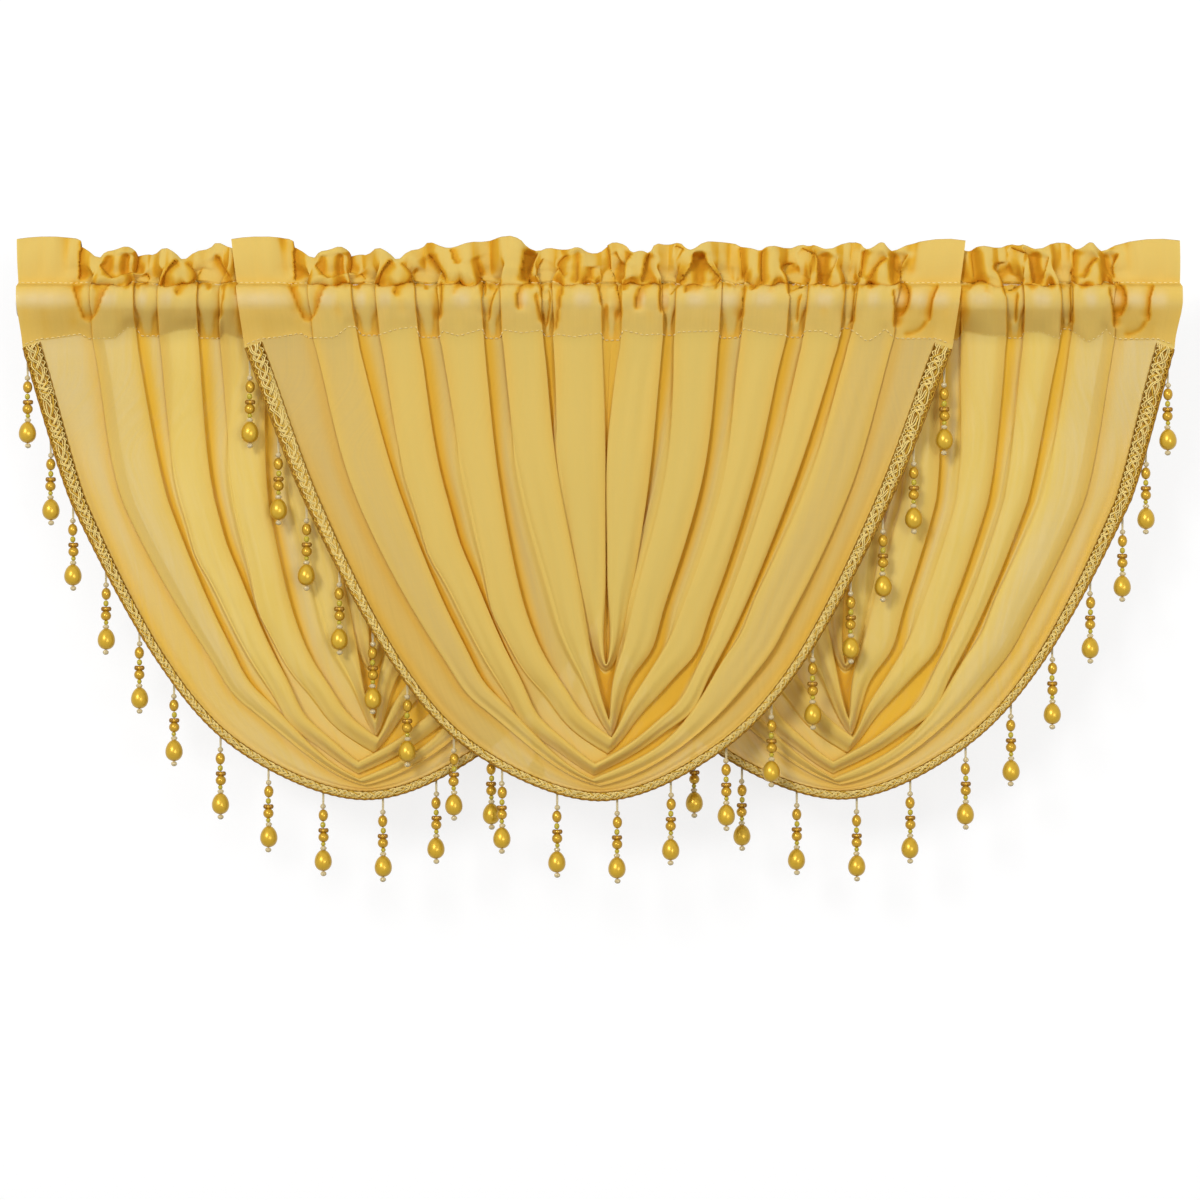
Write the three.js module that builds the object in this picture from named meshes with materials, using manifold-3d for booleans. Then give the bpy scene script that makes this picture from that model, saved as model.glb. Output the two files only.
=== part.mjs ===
// Three sheer swag valances sharing one curtain rod.
// Each valance is one gathered panel with a ruffled heading and a rod pocket, a gimp braid sewn
// along its curved hem, and a fringe of beaded drops. The middle valance hangs in front of the
// other two, which pass behind it.
//
// Frame: origin at the centre of the rod's left end face, +X along the rod, +Y towards the wall,
// +Z up. Millimetres.
import * as THREE from 'three';
import { mergeVertices } from 'three/addons/utils/BufferGeometryUtils.js';
import Module from 'manifold-3d';

const wasm = await Module();
wasm.setup();

const ROD_LENGTH = 1162;
const ROD_RADIUS = 16;
const ROD_SIDES = 40;

const CLOTH_THICKNESS = 1.5;
const BRAID_THICKNESS = 1.8;
const TAPE_THICKNESS = 1.2;
const PIECE_GAP = 0.6;          // free space between a panel and the trim sewn to it

// Heading and rod pocket
const STITCH_HEIGHT = 17.7;     // the pocket's upper row of stitches, above the rod's axis
const SEAM_HEIGHT = -36;        // its lower row, where the swag begins
const SEAM_END_DIP = 11;        // the lower row hangs this much lower at the two ends
const SEAM_DIP_STARTS = 250;
const DROP_FROM = -40;          // level that the drop of each crease is measured from
const LAYER_SPACE = 2.3;        // front to back layer, centre to centre, where they are stitched
const POCKET_RADIUS = 20.1;     // front layer; the back layer hangs a little freer
const POCKET_BACK_RADIUS = 20.8;
const POCKET_PUFF = 3.2;        // how far a pleat stands off the rod
const POCKET_ANGLES = { frontLow: 98, frontHigh: 42, backHigh: 42, backLow: 110 };
const HEADING_FLARE = 0.04;     // the heading widens this much from seam to top
const RUFFLE_BULGE = 6;         // how far the ruffle swells forward, at RUFFLE_BULGE_RISE
const RUFFLE_BULGE_RISE = 0.55;
const GATHER = 3.4;             // half the front-to-back wave of the stitched rows
const SLIT_BACK_SPREAD = 5;     // the back layer's extra room where the rod leaves a pocket
const SLIT_SET_BACK = 9;        // how far the ruffle has moved back there, over SLIT_EASE
const SLIT_EASE = 40;
const SLIT_LIFT = 1.5;
const SLIT_ROWS = 3;            // rows of the pocket's front layer, which the slit cuts
const SLIT_CLEARANCE = 0.9;     // from the slit's edge to the end of the valance in front of it

// Swag
const STATIONS = 20;            // steps along every crease from seam to seam
const PLEAT_CROWN = 2;          // how far a pleat's middle stands in front of its edges
const PLEAT_EDGE_SET = 2;       // its outer edge lies this much behind its inner one
const INNER_LIP = 0.12;         // place of the innermost pleat's lip between slit and outer edge
const TUCK = 0.45;              // how far each valley reaches under the next pleat at the tip
const HEM_BAND_DEPTH = -2;
const SEAM_PLEAT_DEPTH = 0.5;   // part of the full pleat depth left at the gathered seam
const SHEAR_STARTS = -200;      // above this level a swag leans with its heading

// Trim
const BRAID_WIDTH_AT_ENDS = 19;
const BRAID_WIDTH_AT_TIP = 10;
const TRIM_START = 0.1;         // part of its first step that the trim stays below the seam
const TAPE_WIDTH = 6;
const DROP_STANDOFF = 1.45;    // the threads hang this far behind the tape's middle
const BRAID_INSET = 0.5;
const HEM_SEARCH_STEPS = 300;

// Crease lines of a swag, from the innermost pleat to the hem. A row reads across the swag from
// left to right: the distance from the swag's middle at the seam (top), at 35, 70 and 90 % of the
// line's own drop (upper, lower, foot) and at its lowest point (tip), then back up the other side.
const CREASE_COLUMNS = ['leftTop', 'leftUpper', 'leftLower', 'leftFoot', 'tip', 'drop',
  'rightFoot', 'rightLower', 'rightUpper', 'rightTop'];
const CREASES = {
  slit: [9, 9, 8, 8, 8, 315, 8, 8, 9, 9],
  pleat1Outer: [-45, -39, -22, -7, 8, 328, 25, 38, 54, 65],
  pleat2Inner: [-55, -40, -14, 0, 9, 385, 17, 34, 67, 76],
  pleat2Outer: [-96, -76, -38, -11, 9, 402, 26, 62, 104, 121],
  pleat3Inner: [-114, -99, -69, -31, 9, 400, 34, 79, 124, 143],
  pleat3Outer: [-158, -132, -90, -46, 2, 420, 47, 106, 154, 188],
  pleat4Inner: [-179, -152, -98, -47, -4, 422, 57, 114, 168, 205],
  pleat4Outer: [-218, -185, -120, -58, -5, 434, 67, 129, 193, 242],
  pleat5Inner: [-241, -198, -132, -62, -5, 438, 74, 132, 205, 253],
  pleat5Outer: [-284, -243, -158, -76, 2, 445, 89, 170, 248, 295],
  hem: [-353, -291, -203, -120, 2, 460, 115, 204, 292, 354],
};
const CREASE_LEVELS = { Top: 0, Upper: 0.35, Lower: 0.7, Foot: 0.9 };

// Front-to-back depth of each pleat, innermost first
const PLEAT_DEPTHS = [15, 17, 14, 16, 13];

// Height of the ruffled heading's top edge, left to right
const RUFFLE_TOPS = [
  { x: -370, top: 61 }, { x: -304, top: 61 }, { x: -287, top: 40 }, { x: -259, top: 54 },
  { x: -202, top: 40 }, { x: -170, top: 59 }, { x: -91, top: 63 }, { x: -60, top: 48 },
  { x: 16, top: 59 }, { x: 34, top: 48 }, { x: 57, top: 57 }, { x: 92, top: 50 },
  { x: 135, top: 57 }, { x: 164, top: 48 }, { x: 206, top: 56 }, { x: 232, top: 49 },
  { x: 256, top: 58 }, { x: 296, top: 47 }, { x: 314, top: 57 }, { x: 346, top: 62 },
  { x: 370, top: 60 },
];

// The beaded drops' places across a swag, uneven as they hang
const DROP_PLACES = [-343, -317, -291, -258, -225, -190, -144, -96, -41,
  19, 73, 128, 173, 214, 252, 284, 313, 341];
const DROP_SIDES = 5;
// Outline of one drop below the hem: thread, bead column, neck, pearl
const DROP_PROFILE = [
  { down: 0, radius: 1.3 },
  { down: 18, radius: 1.3 },
  { down: 42, radius: 5 },
  { down: 60, radius: 2.6 },
  { down: 76, radius: 8.5 },
];
const DROP_LENGTH = 87;
const DROP_LENGTH_AT_ENDS = 95;
const DROPS_SHORTEN = { from: -80, to: -350 };  // heights between which the drops shorten

// The three valances. lean slides the heading sideways over the swag, seamY and bodyY are the
// depths of seam and swag, and rodFrom/rodTo bound the stretch of the rod that the pocket holds.
// Past that stretch the empty pocket lies flat behind the rod, at emptyY.
const VALANCES = [
  {
    name: 'left_valance', centre: 345, lean: 0.0875, rodFrom: 0, rodTo: 224,
    seamY: [{ x: 190, y: 0 }, { x: 236, y: 14 }],
    bodyY: [{ x: 30, y: 1 }, { x: 190, y: 11 }],
    emptyY: [{ x: 0, y: 28 }],
  },
  {
    name: 'middle_valance', centre: 580, lean: 0, rodFrom: 0, rodTo: ROD_LENGTH,
    seamY: [{ x: 0, y: -12 }],
    bodyY: [{ x: 0, y: -12 }],
    emptyY: [{ x: 0, y: 28 }],
  },
  {
    name: 'right_valance', centre: 821, lean: -0.125, rodFrom: 940, rodTo: ROD_LENGTH,
    seamY: [{ x: 745, y: 36 }, { x: 790, y: 14 }, { x: 925, y: 14 }, { x: 970, y: 0 }],
    bodyY: [{ x: 700, y: 38 }, { x: 840, y: 19 }, { x: 1000, y: 8 }, { x: 1130, y: 1 }],
    emptyY: [{ x: 745, y: 44 }, { x: 785, y: 28 }],
  },
];

const cloth = (color) => new THREE.MeshStandardMaterial({ color, roughness: 0.7, metalness: 0 });
const PANEL_MATERIAL = cloth(0xdfbf66);
const BRAID_MATERIAL = new THREE.MeshStandardMaterial({ color: 0xd8b85a, roughness: 0.45, metalness: 0.4 });
const DROP_MATERIAL = new THREE.MeshStandardMaterial({ color: 0xc9a53a, roughness: 0.2, metalness: 0 });
const ROD_MATERIAL = new THREE.MeshStandardMaterial({ color: 0xf0ece2, roughness: 0.35, metalness: 0 });

const { lerp, smoothstep } = THREE.MathUtils;

/** Value of a table of rows at x: straight between the rows, constant past the ends. */
function between(rows, key, x) {
  const next = rows.findIndex((row) => row.x > x);
  if (next === 0) return rows[0][key];
  if (next < 0) return rows[rows.length - 1][key];
  const before = rows[next - 1];
  const after = rows[next];
  return lerp(before[key], after[key], (x - before.x) / (after.x - before.x));
}

/** Height of the pocket's lower row of stitches at x from the swag's middle. */
const seamHeight = (x) => SEAM_HEIGHT - SEAM_END_DIP * smoothstep(Math.abs(x), SEAM_DIP_STARTS, 354);

/** Smooth curve of one crease, in the plane of the swag: left seam, tip, right seam. */
function creaseCurve(row) {
  const crease = Object.fromEntries(CREASE_COLUMNS.map((column, index) => [column, row[index]]));
  const side = (name) => Object.entries(CREASE_LEVELS).map(([level, part]) => {
    const x = crease[name + level];
    const z = part === 0 ? seamHeight(x) : DROP_FROM - part * crease.drop;
    return new THREE.Vector3(x, 0, z);
  });
  const tip = new THREE.Vector3(crease.tip, 0, DROP_FROM - crease.drop);
  const points = [...side('left'), tip, ...side('right').reverse()];
  return new THREE.CatmullRomCurve3(points, false, 'catmullrom', 0.5);
}

const curves = Object.fromEntries(Object.entries(CREASES).map(([name, row]) => [name, creaseCurve(row)]));

/** 0 on the arms of a swag, 1 round its lowest point; along runs from 0 to 1. */
const tipness = (along) => 1 - smoothstep(Math.abs(along - 0.5), 0.06, 0.28);

/** 1 at the seam, 0 from a little below it. */
const seamness = (along) => 1 - smoothstep(Math.min(along, 1 - along), 0, 0.16);

/** The braid lies flat and wide at the two ends of the hem and is drawn in along its curve. */
function braidWidth(along) {
  const spread = smoothstep(Math.abs(along - 0.5), 0.15, 0.46);
  return lerp(BRAID_WIDTH_AT_TIP, BRAID_WIDTH_AT_ENDS, spread);
}

/** The hem moved sideways in the plane of the swag, towards its middle where inward is positive. */
function besideHem(along, inward) {
  const point = curves.hem.getPoint(along);
  const tangent = curves.hem.getTangent(along);
  return new THREE.Vector3(point.x - tangent.z * inward, 0, point.z + tangent.x * inward);
}

/**
 * The lines that carry the cloth, from the slit between the innermost pleats out to the hem.
 * Each gives its place in the plane of the swag, its depth, and how far it puffs off the rod
 * (0 to 1) and is gathered back at the stitches (1) or forward (less than 0).
 */
function carryingLines() {
  const lines = [];
  const valley = (place, depth) => lines.push({ place, depth: () => depth, puff: 0, gather: 1 });
  const face = (place, depth, puff) => lines.push({ place, depth, puff, gather: -puff });
  const mix = (a, b, part) => (along) => a(along).lerp(b(along), part);
  const at = (name) => (along) => curves[name].getPoint(along);

  PLEAT_DEPTHS.forEach((pleatDepth, index) => {
    const pleat = index + 1;
    const deep = pleatDepth / 2;
    const outer = at(`pleat${pleat}Outer`);
    const isFirst = pleat === 1;
    const isLast = pleat === PLEAT_DEPTHS.length;
    const inner = isFirst ? mix(at('slit'), outer, INNER_LIP) : at(`pleat${pleat}Inner`);
    if (isFirst) {
      valley(at('slit'), deep);
    } else {
      const gapMiddle = mix(at(`pleat${pleat - 1}Outer`), inner, 0.5);
      const tucked = mix(inner, outer, TUCK);
      valley((along) => gapMiddle(along).lerp(tucked(along), tipness(along)), deep);
    }
    const edgeDepth = -deep + PLEAT_EDGE_SET;
    face(inner, () => -deep, 0.5);
    face(mix(inner, outer, 0.5), () => -deep - PLEAT_CROWN, 1);
    face(outer, (along) => lerp(edgeDepth, isLast ? edgeDepth : 1, tipness(along)), 0.5);
  });
  face((along) => besideHem(along, braidWidth(along)), () => HEM_BAND_DEPTH, 0);
  face((along) => besideHem(along, 0), () => 0, 0);
  return lines;
}

const LINES = carryingLines();

/** Places a point of a swag's own plane in the frame, at a depth from the swag's middle depth. */
function hang(valance, point, depth) {
  const x = valance.centre + point.x + valance.lean * Math.max(0, point.z - SHEAR_STARTS);
  const low = smoothstep(-point.z, -SEAM_HEIGHT, 150);
  const y = lerp(between(valance.seamY, 'y', x), between(valance.bodyY, 'y', x), low) + depth;
  return new THREE.Vector3(x, y, point.z);
}

/** Pleats are shallower where the seam gathers them. */
const fullness = (along) => lerp(1, SEAM_PLEAT_DEPTH, seamness(along));

/** A point on the pocket, turned by angle degrees from above the rod; side -1 is the front. */
function roundRod(radius, angle, side) {
  const turn = THREE.MathUtils.degToRad(angle);
  return { y: side * radius * Math.sin(turn), z: radius * Math.cos(turn) };
}

/** Where a heading's fold line stands at height z, from its place at the seam. */
function headingX(valance, local, seamZ, z) {
  const rise = (z - seamZ) / (RUFFLE_TOPS[0].top - seamZ);
  const lean = valance.lean * (z - SHEAR_STARTS);
  return valance.centre + local * (1 + HEADING_FLARE * rise) + lean;
}

/** The slit's edge at height z, just clear of the end of the middle valance. */
function slitX(side, z) {
  const middle = VALANCES.find(({ lean }) => lean === 0);
  const end = curves.hem.points[side < 0 ? 0 : curves.hem.points.length - 1];
  return headingX(middle, end.x, end.z, z) + side * SLIT_CLEARANCE;
}

const onRod = (valance, x) => x >= valance.rodFrom && x <= valance.rodTo;

/** 1 where the rod leaves a pocket through its slit, 0 from a little before it. */
function slitness(valance, x) {
  const toSlit = Math.min(
    valance.rodFrom > 0 ? x - valance.rodFrom : Infinity,
    valance.rodTo < ROD_LENGTH ? valance.rodTo - x : Infinity,
  );
  return 1 - smoothstep(toSlit, 0, SLIT_EASE);
}

/** Heading and pocket above one point of the seam: y and z of each row, front, top and back. */
function headingRows(valance, x, local, { gather, puff }) {
  const held = onRod(valance, x);
  const slit = held ? slitness(valance, x) : 0;
  const wave = GATHER * gather * (1 - slit);
  const middle = (held ? SLIT_SET_BACK * slit : between(valance.emptyY, 'y', x)) + wave;
  const half = LAYER_SPACE / 2;
  const top = between(RUFFLE_TOPS, 'top', local);
  const stitch = STITCH_HEIGHT + SLIT_LIFT * slit;
  const pocket = (angle, side, radius) => {
    const round = roundRod(radius, angle, side);
    return held ? round : { y: middle + side * half, z: round.z };
  };
  const frontRadius = POCKET_RADIUS + POCKET_PUFF * puff;
  const backRadius = POCKET_BACK_RADIUS + SLIT_BACK_SPREAD * slit;
  const bulge = RUFFLE_BULGE * puff * (1 - slit);
  return [
    pocket(POCKET_ANGLES.frontLow, -1, frontRadius),
    pocket(POCKET_ANGLES.frontHigh, -1, frontRadius),
    { y: middle - half, z: stitch },
    { y: middle - half - bulge, z: lerp(stitch, top, RUFFLE_BULGE_RISE) },
    { y: middle + wave, z: top },
    { y: middle + half, z: stitch },
    pocket(POCKET_ANGLES.backHigh, 1, backRadius),
    pocket(POCKET_ANGLES.backLow, 1, backRadius),
  ];
}

/** Closed solid of a sheet: its points are moved half the thickness along their normals. */
function thicken(points, triangles, thickness) {
  const normals = points.map(() => new THREE.Vector3());
  const ab = new THREE.Vector3();
  const ac = new THREE.Vector3();
  for (const [a, b, c] of triangles) {
    ab.subVectors(points[b], points[a]);
    ac.subVectors(points[c], points[a]);
    const facing = ab.cross(ac).normalize();
    for (const corner of [a, b, c]) normals[corner].add(facing);
  }
  const count = points.length;
  const positions = [];
  for (const side of [1, -1]) {
    points.forEach((point, index) => {
      const offset = normals[index].clone().setLength(side * thickness / 2);
      positions.push(...point.clone().add(offset).toArray());
    });
  }
  const faces = [];
  const edges = new Set();
  for (const [a, b, c] of triangles) {
    faces.push(a, b, c, a + count, c + count, b + count);
    for (const [from, to] of [[a, b], [b, c], [c, a]]) edges.add(`${from}:${to}`);
  }
  for (const edge of edges) {
    const [from, to] = edge.split(':').map(Number);
    if (edges.has(`${to}:${from}`)) continue;
    faces.push(to, from, from + count, to, from + count, to + count);
  }
  const geometry = new THREE.BufferGeometry();
  geometry.setAttribute('position', new THREE.Float32BufferAttribute(positions, 3));
  geometry.setIndex(faces);
  return geometry;
}

/** A sheet's points and triangles, built up quad by quad. */
function newSheet() {
  const points = [];
  const triangles = [];
  return {
    points,
    triangles,
    addPoint: (point) => points.push(point) - 1,
    addQuad: (a, b, c, d) => triangles.push([a, b, c], [a, c, d]),
  };
}

/** Adds the swag below the seam. Returns the ids of its points, a row for each carrying line. */
function addSwag(sheet, valance) {
  const ids = LINES.map((line, index) => {
    const row = [];
    for (let station = 0; station <= STATIONS; station += 1) {
      const along = station / STATIONS;
      const shared = index === 0 && along > 0.5;
      const point = hang(valance, line.place(along), line.depth(along) * fullness(along));
      row.push(shared ? row[STATIONS - station] : sheet.addPoint(point));
    }
    return row;
  });
  for (let line = 0; line + 1 < LINES.length; line += 1) {
    const [inner, outer] = [ids[line], ids[line + 1]];
    for (let station = 0; station < STATIONS; station += 1) {
      sheet.addQuad(inner[station], outer[station], outer[station + 1], inner[station + 1]);
    }
  }
  return ids;
}

/** Adds pocket and heading above the seam, a column for each point of the swag's top edge. */
function addHeading(sheet, valance, swagIds) {
  const leftArm = LINES.map((line, index) => ({ line, seam: swagIds[index][0] })).slice(1).reverse();
  const rightArm = LINES.map((line, index) => ({ line, seam: swagIds[index][STATIONS] }));
  const columns = [...leftArm, ...rightArm];
  const held = columns.map(({ seam }) => onRod(valance, sheet.points[seam].x));

  const ids = columns.map(({ line, seam }, index) => {
    const slitBefore = index > 0 && held[index] && !held[index - 1];
    const slitAfter = index + 1 < columns.length && held[index] && !held[index + 1];
    const foot = sheet.points[seam];
    const local = foot.x - valance.centre - valance.lean * (foot.z - SHEAR_STARTS);
    const rows = headingRows(valance, foot.x, local, line).map(({ y, z }, level) => {
      let x = headingX(valance, local, foot.z, z);
      if (slitBefore && level < SLIT_ROWS) x = slitX(1, z);
      if (slitAfter && level < SLIT_ROWS) x = slitX(-1, z);
      return sheet.addPoint(new THREE.Vector3(x, y, z));
    });
    const backFoot = new THREE.Vector3(foot.x, foot.y + LAYER_SPACE, foot.z);
    return [seam, ...rows, sheet.addPoint(backFoot)];
  });
  for (let column = 0; column + 1 < ids.length; column += 1) {
    const [left, right] = [ids[column], ids[column + 1]];
    const lowest = held[column] === held[column + 1] ? 0 : SLIT_ROWS;
    for (let level = lowest; level + 1 < left.length; level += 1) {
      sheet.addQuad(left[level], right[level], right[level + 1], left[level + 1]);
    }
  }
}

/** The whole panel of one valance as a closed solid: swag, pocket and heading of one cloth. */
function panelGeometry(valance) {
  const sheet = newSheet();
  const swagIds = addSwag(sheet, valance);
  addHeading(sheet, valance, swagIds);
  return thicken(sheet.points, sheet.triangles, CLOTH_THICKNESS);
}

/** A strip along the hem from one inward distance to another, set off in depth from the cloth. */
function hemStrip(valance, innerWidth, outerWidth, setOff, thickness) {
  const sheet = newSheet();
  const edges = [innerWidth, outerWidth].map((width) => {
    const edge = [];
    for (let station = 0; station <= STATIONS; station += 1) {
      const along = station / STATIONS;
      const inward = width(along);
      const clothDepth = HEM_BAND_DEPTH * inward / braidWidth(along);
      edge.push(hang(valance, besideHem(along, inward), clothDepth * fullness(along) + setOff));
    }
    edge[0].lerp(edge[1], TRIM_START);
    edge[STATIONS].lerp(edge[STATIONS - 1], TRIM_START);
    return edge.map((point) => sheet.addPoint(point));
  });
  const [inner, outer] = edges;
  for (let station = 0; station < STATIONS; station += 1) {
    sheet.addQuad(inner[station], outer[station], outer[station + 1], inner[station + 1]);
  }
  return thicken(sheet.points, sheet.triangles, thickness);
}

/** Gimp braid on the face of the hem. */
function braidGeometry(valance) {
  const setOff = -(CLOTH_THICKNESS + BRAID_THICKNESS) / 2 - PIECE_GAP;
  const innerWidth = (along) => braidWidth(along) - BRAID_INSET;
  return hemStrip(valance, innerWidth, () => BRAID_INSET, setOff, BRAID_THICKNESS);
}

/** Solid of a closed mesh, its doubled points merged. */
function solidOf(geometry) {
  const plain = geometry.clone();
  plain.deleteAttribute('normal');
  plain.deleteAttribute('uv');
  const merged = mergeVertices(plain, 1e-4);
  return new wasm.Manifold(new wasm.Mesh({
    numProp: 3,
    vertProperties: new Float32Array(merged.attributes.position.array),
    triVerts: new Uint32Array(merged.index.array),
  }));
}

function geometryOf(solid) {
  const mesh = solid.getMesh();
  const geometry = new THREE.BufferGeometry();
  geometry.setAttribute('position', new THREE.BufferAttribute(mesh.vertProperties, 3));
  geometry.setIndex(new THREE.BufferAttribute(mesh.triVerts, 1));
  return geometry;
}

/** One drop of beads, hanging from a point. */
function dropGeometry(top, length) {
  const outline = DROP_PROFILE.map(({ down, radius }) => (
    new THREE.Vector2(radius, -down * length / DROP_LENGTH)
  ));
  const profile = [new THREE.Vector2(0, -length), ...outline.reverse(), new THREE.Vector2(0, 0)];
  const drop = new THREE.LatheGeometry(profile, DROP_SIDES);
  drop.rotateX(Math.PI / 2);
  drop.translate(top.x, top.y, top.z);
  return drop;
}

/** Beaded fringe: a narrow tape behind the hem and the drops that hang from it, as one comb. */
function fringeGeometry(valance) {
  const setOff = (CLOTH_THICKNESS + TAPE_THICKNESS) / 2 + PIECE_GAP;
  const tape = hemStrip(valance, () => TAPE_WIDTH, () => BRAID_INSET, setOff, TAPE_THICKNESS);
  const middleLine = Array.from({ length: HEM_SEARCH_STEPS + 1 }, (_, step) => (
    besideHem(step / HEM_SEARCH_STEPS, TAPE_WIDTH / 2)
  ));
  let comb = solidOf(tape);
  for (const place of DROP_PLACES) {
    const start = middleLine.reduce((best, point) => (
      Math.abs(point.x - place) < Math.abs(best.x - place) ? point : best
    ));
    const top = hang(valance, start, setOff + DROP_STANDOFF);
    const high = smoothstep(start.z, DROPS_SHORTEN.to, DROPS_SHORTEN.from);
    comb = comb.add(solidOf(dropGeometry(top, lerp(DROP_LENGTH, DROP_LENGTH_AT_ENDS, high))));
  }
  return geometryOf(comb);
}

function rodGeometry() {
  const rod = new THREE.CylinderGeometry(ROD_RADIUS, ROD_RADIUS, ROD_LENGTH, ROD_SIDES);
  rod.rotateZ(Math.PI / 2);
  rod.translate(ROD_LENGTH / 2, 0, 0);
  return rod;
}

const part = new THREE.Group();

function addPiece(name, geometry, material) {
  const piece = new THREE.Mesh(geometry, material);
  piece.name = name;
  part.add(piece);
}

addPiece('rod', rodGeometry(), ROD_MATERIAL);
for (const valance of VALANCES) {
  addPiece(`${valance.name}_panel`, panelGeometry(valance), PANEL_MATERIAL);
  addPiece(`${valance.name}_braid`, braidGeometry(valance), BRAID_MATERIAL);
  addPiece(`${valance.name}_fringe`, fringeGeometry(valance), DROP_MATERIAL);
}

export default part;
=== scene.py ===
import math

import bpy
import numpy as np
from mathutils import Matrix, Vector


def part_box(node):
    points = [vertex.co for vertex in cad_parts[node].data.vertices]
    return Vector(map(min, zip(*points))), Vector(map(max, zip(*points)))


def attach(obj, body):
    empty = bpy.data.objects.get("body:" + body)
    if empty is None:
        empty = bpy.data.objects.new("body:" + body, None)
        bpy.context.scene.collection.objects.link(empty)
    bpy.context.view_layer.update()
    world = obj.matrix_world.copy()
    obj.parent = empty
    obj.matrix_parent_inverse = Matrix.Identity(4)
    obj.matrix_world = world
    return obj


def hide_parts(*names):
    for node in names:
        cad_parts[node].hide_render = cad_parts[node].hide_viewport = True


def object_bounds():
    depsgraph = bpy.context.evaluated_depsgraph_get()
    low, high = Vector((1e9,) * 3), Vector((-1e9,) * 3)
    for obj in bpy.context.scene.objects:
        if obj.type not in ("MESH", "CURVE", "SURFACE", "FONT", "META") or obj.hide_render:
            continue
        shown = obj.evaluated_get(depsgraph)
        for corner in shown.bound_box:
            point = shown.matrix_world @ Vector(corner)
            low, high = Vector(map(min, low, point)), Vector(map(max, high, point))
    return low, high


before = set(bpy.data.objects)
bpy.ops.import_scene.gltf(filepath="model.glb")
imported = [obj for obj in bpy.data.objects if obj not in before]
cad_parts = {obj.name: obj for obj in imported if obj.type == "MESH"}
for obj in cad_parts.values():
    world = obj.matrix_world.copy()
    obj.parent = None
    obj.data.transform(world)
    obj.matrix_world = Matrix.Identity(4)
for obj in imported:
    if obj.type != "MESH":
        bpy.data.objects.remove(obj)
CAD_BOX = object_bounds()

bl_info = {
    "name": "Swag Valances",
    "version": (1, 0, 0),
    "blender": (4, 5, 0),
    "location": "3D View > Sidebar > Valances",
    "description": ("Sheer rod pocket swag valances with gimp braid and beaded fringe "
                    "on a shared rod"),
    "category": "Add Mesh",
}

# Lengths are in millimetres up to the last step, where MM turns them into metres.
MM = 0.001

# ---------------------------------------------------------------- sizes and tables of the object

ROD_LOW, ROD_HIGH = (np.array(corner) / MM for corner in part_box("rod"))
ROD_LENGTH = ROD_HIGH[0] - ROD_LOW[0]
CLOTH_THICKNESS = 1.5     # of the solids' cloth, which the fringe's tape hangs behind
TAPE_THICKNESS = 1.2

STITCH_HEIGHT = 17.7      # upper row of stitches of the pocket, above the rod's axis
HEADING_TOP = 61.0        # level where the heading has its full flare
SEAM_HEIGHT = -36.0       # lower row of stitches, where the swag begins
SEAM_END_DIP = 11.0
SEAM_DIP_STARTS = 250.0
HEM_HALF_WIDTH = 354.0    # from a swag's middle to its hem at the seam
DROP_FROM = -40.0         # level that the drop of each crease is measured from
SHEAR_STARTS = -200.0     # above this level a swag leans with its heading
LAYER_SPACE = 2.3         # front to back layer of the heading where they are stitched
HEADING_FLARE = 0.04
FLAT_ENDS = (296.0, 320.0)      # where the gathers fade into the flat piece at each end
BRAID_NARROW, BRAID_BROAD = 9.0, 18.5

# Crease lines of a swag from the innermost pleat to the hem: distance from the swag's middle at
# the seam (top), at 35, 70 and 90 % of the line's own drop and at its lowest point, then back up.
CREASE_COLUMNS = ("left_top", "left_upper", "left_lower", "left_foot", "tip", "drop",
                  "right_foot", "right_lower", "right_upper", "right_top")
CREASE_LEVELS = (("top", 0.0), ("upper", 0.35), ("lower", 0.7), ("foot", 0.9))
CREASES = {
    "slit": (13, 9, 8, 8, 8, 317, 8, 8, 9, 13),
    "pleat1_inner": (4, 7.5, 7, 5, 8, 323, 12, 9.5, 10, 23),
    "pleat1_outer": (-45, -39, -22, -7, 8, 328, 25, 38, 54, 65),
    "pleat2_inner": (-55, -40, -14, 0, 11, 379, 17, 34, 67, 76),
    "pleat2_outer": (-96, -76, -38, -9, 13, 396, 28, 62, 104, 121),
    "pleat3_inner": (-114, -99, -69, -28, 15, 397, 36, 79, 124, 143),
    "pleat3_outer": (-158, -132, -94, -44, 10, 412, 47, 104, 154, 188),
    "pleat4_inner": (-179, -152, -98, -47, -4, 422, 57, 114, 168, 205),
    "pleat4_outer": (-218, -185, -120, -58, -5, 434, 67, 129, 193, 242),
    "pleat5_inner": (-241, -198, -132, -62, -5, 438, 74, 132, 205, 253),
    "pleat5_outer": (-284, -243, -158, -76, 2, 445, 89, 170, 248, 295),
    "hem": (-353, -293, -206, -121, 2, 460, 118, 205, 292, 354),
}
PLEAT_DEPTHS = (12.5, 13.5, 11.5, 12.5, 10.5)   # front to back, innermost pleat first
TIP_POINTS = {"slit": 0, "pleat1_inner": 0, "pleat1_outer": 0.1, "pleat2_inner": 0.6,
              "pleat2_outer": 0.6, "pleat5_outer": 0.35, "hem": 0}

# Where a ribbon turns with an elbow instead of an even curve: its pleat, the place in the
# swag's plane and how far it stands out there
ELBOWS = (
    (2, -72, -335, 8.5), (3, -122, -312, 9.0), (3, -58, -402, -5.0), (4, -66, -418, 8.0),
    (4, -160, -250, 5.0), (2, -30, -385, -4.0), (2, 30, -380, -3.5), (2, 66, -352, 6.0),
    (3, 98, -350, 5.5), (4, 92, -408, 7.5), (5, 150, -335, 5.0), (5, -120, -385, 4.5),
    (3, 40, -420, -3.0),
)
ELBOW_REACH = 27.0

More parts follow.
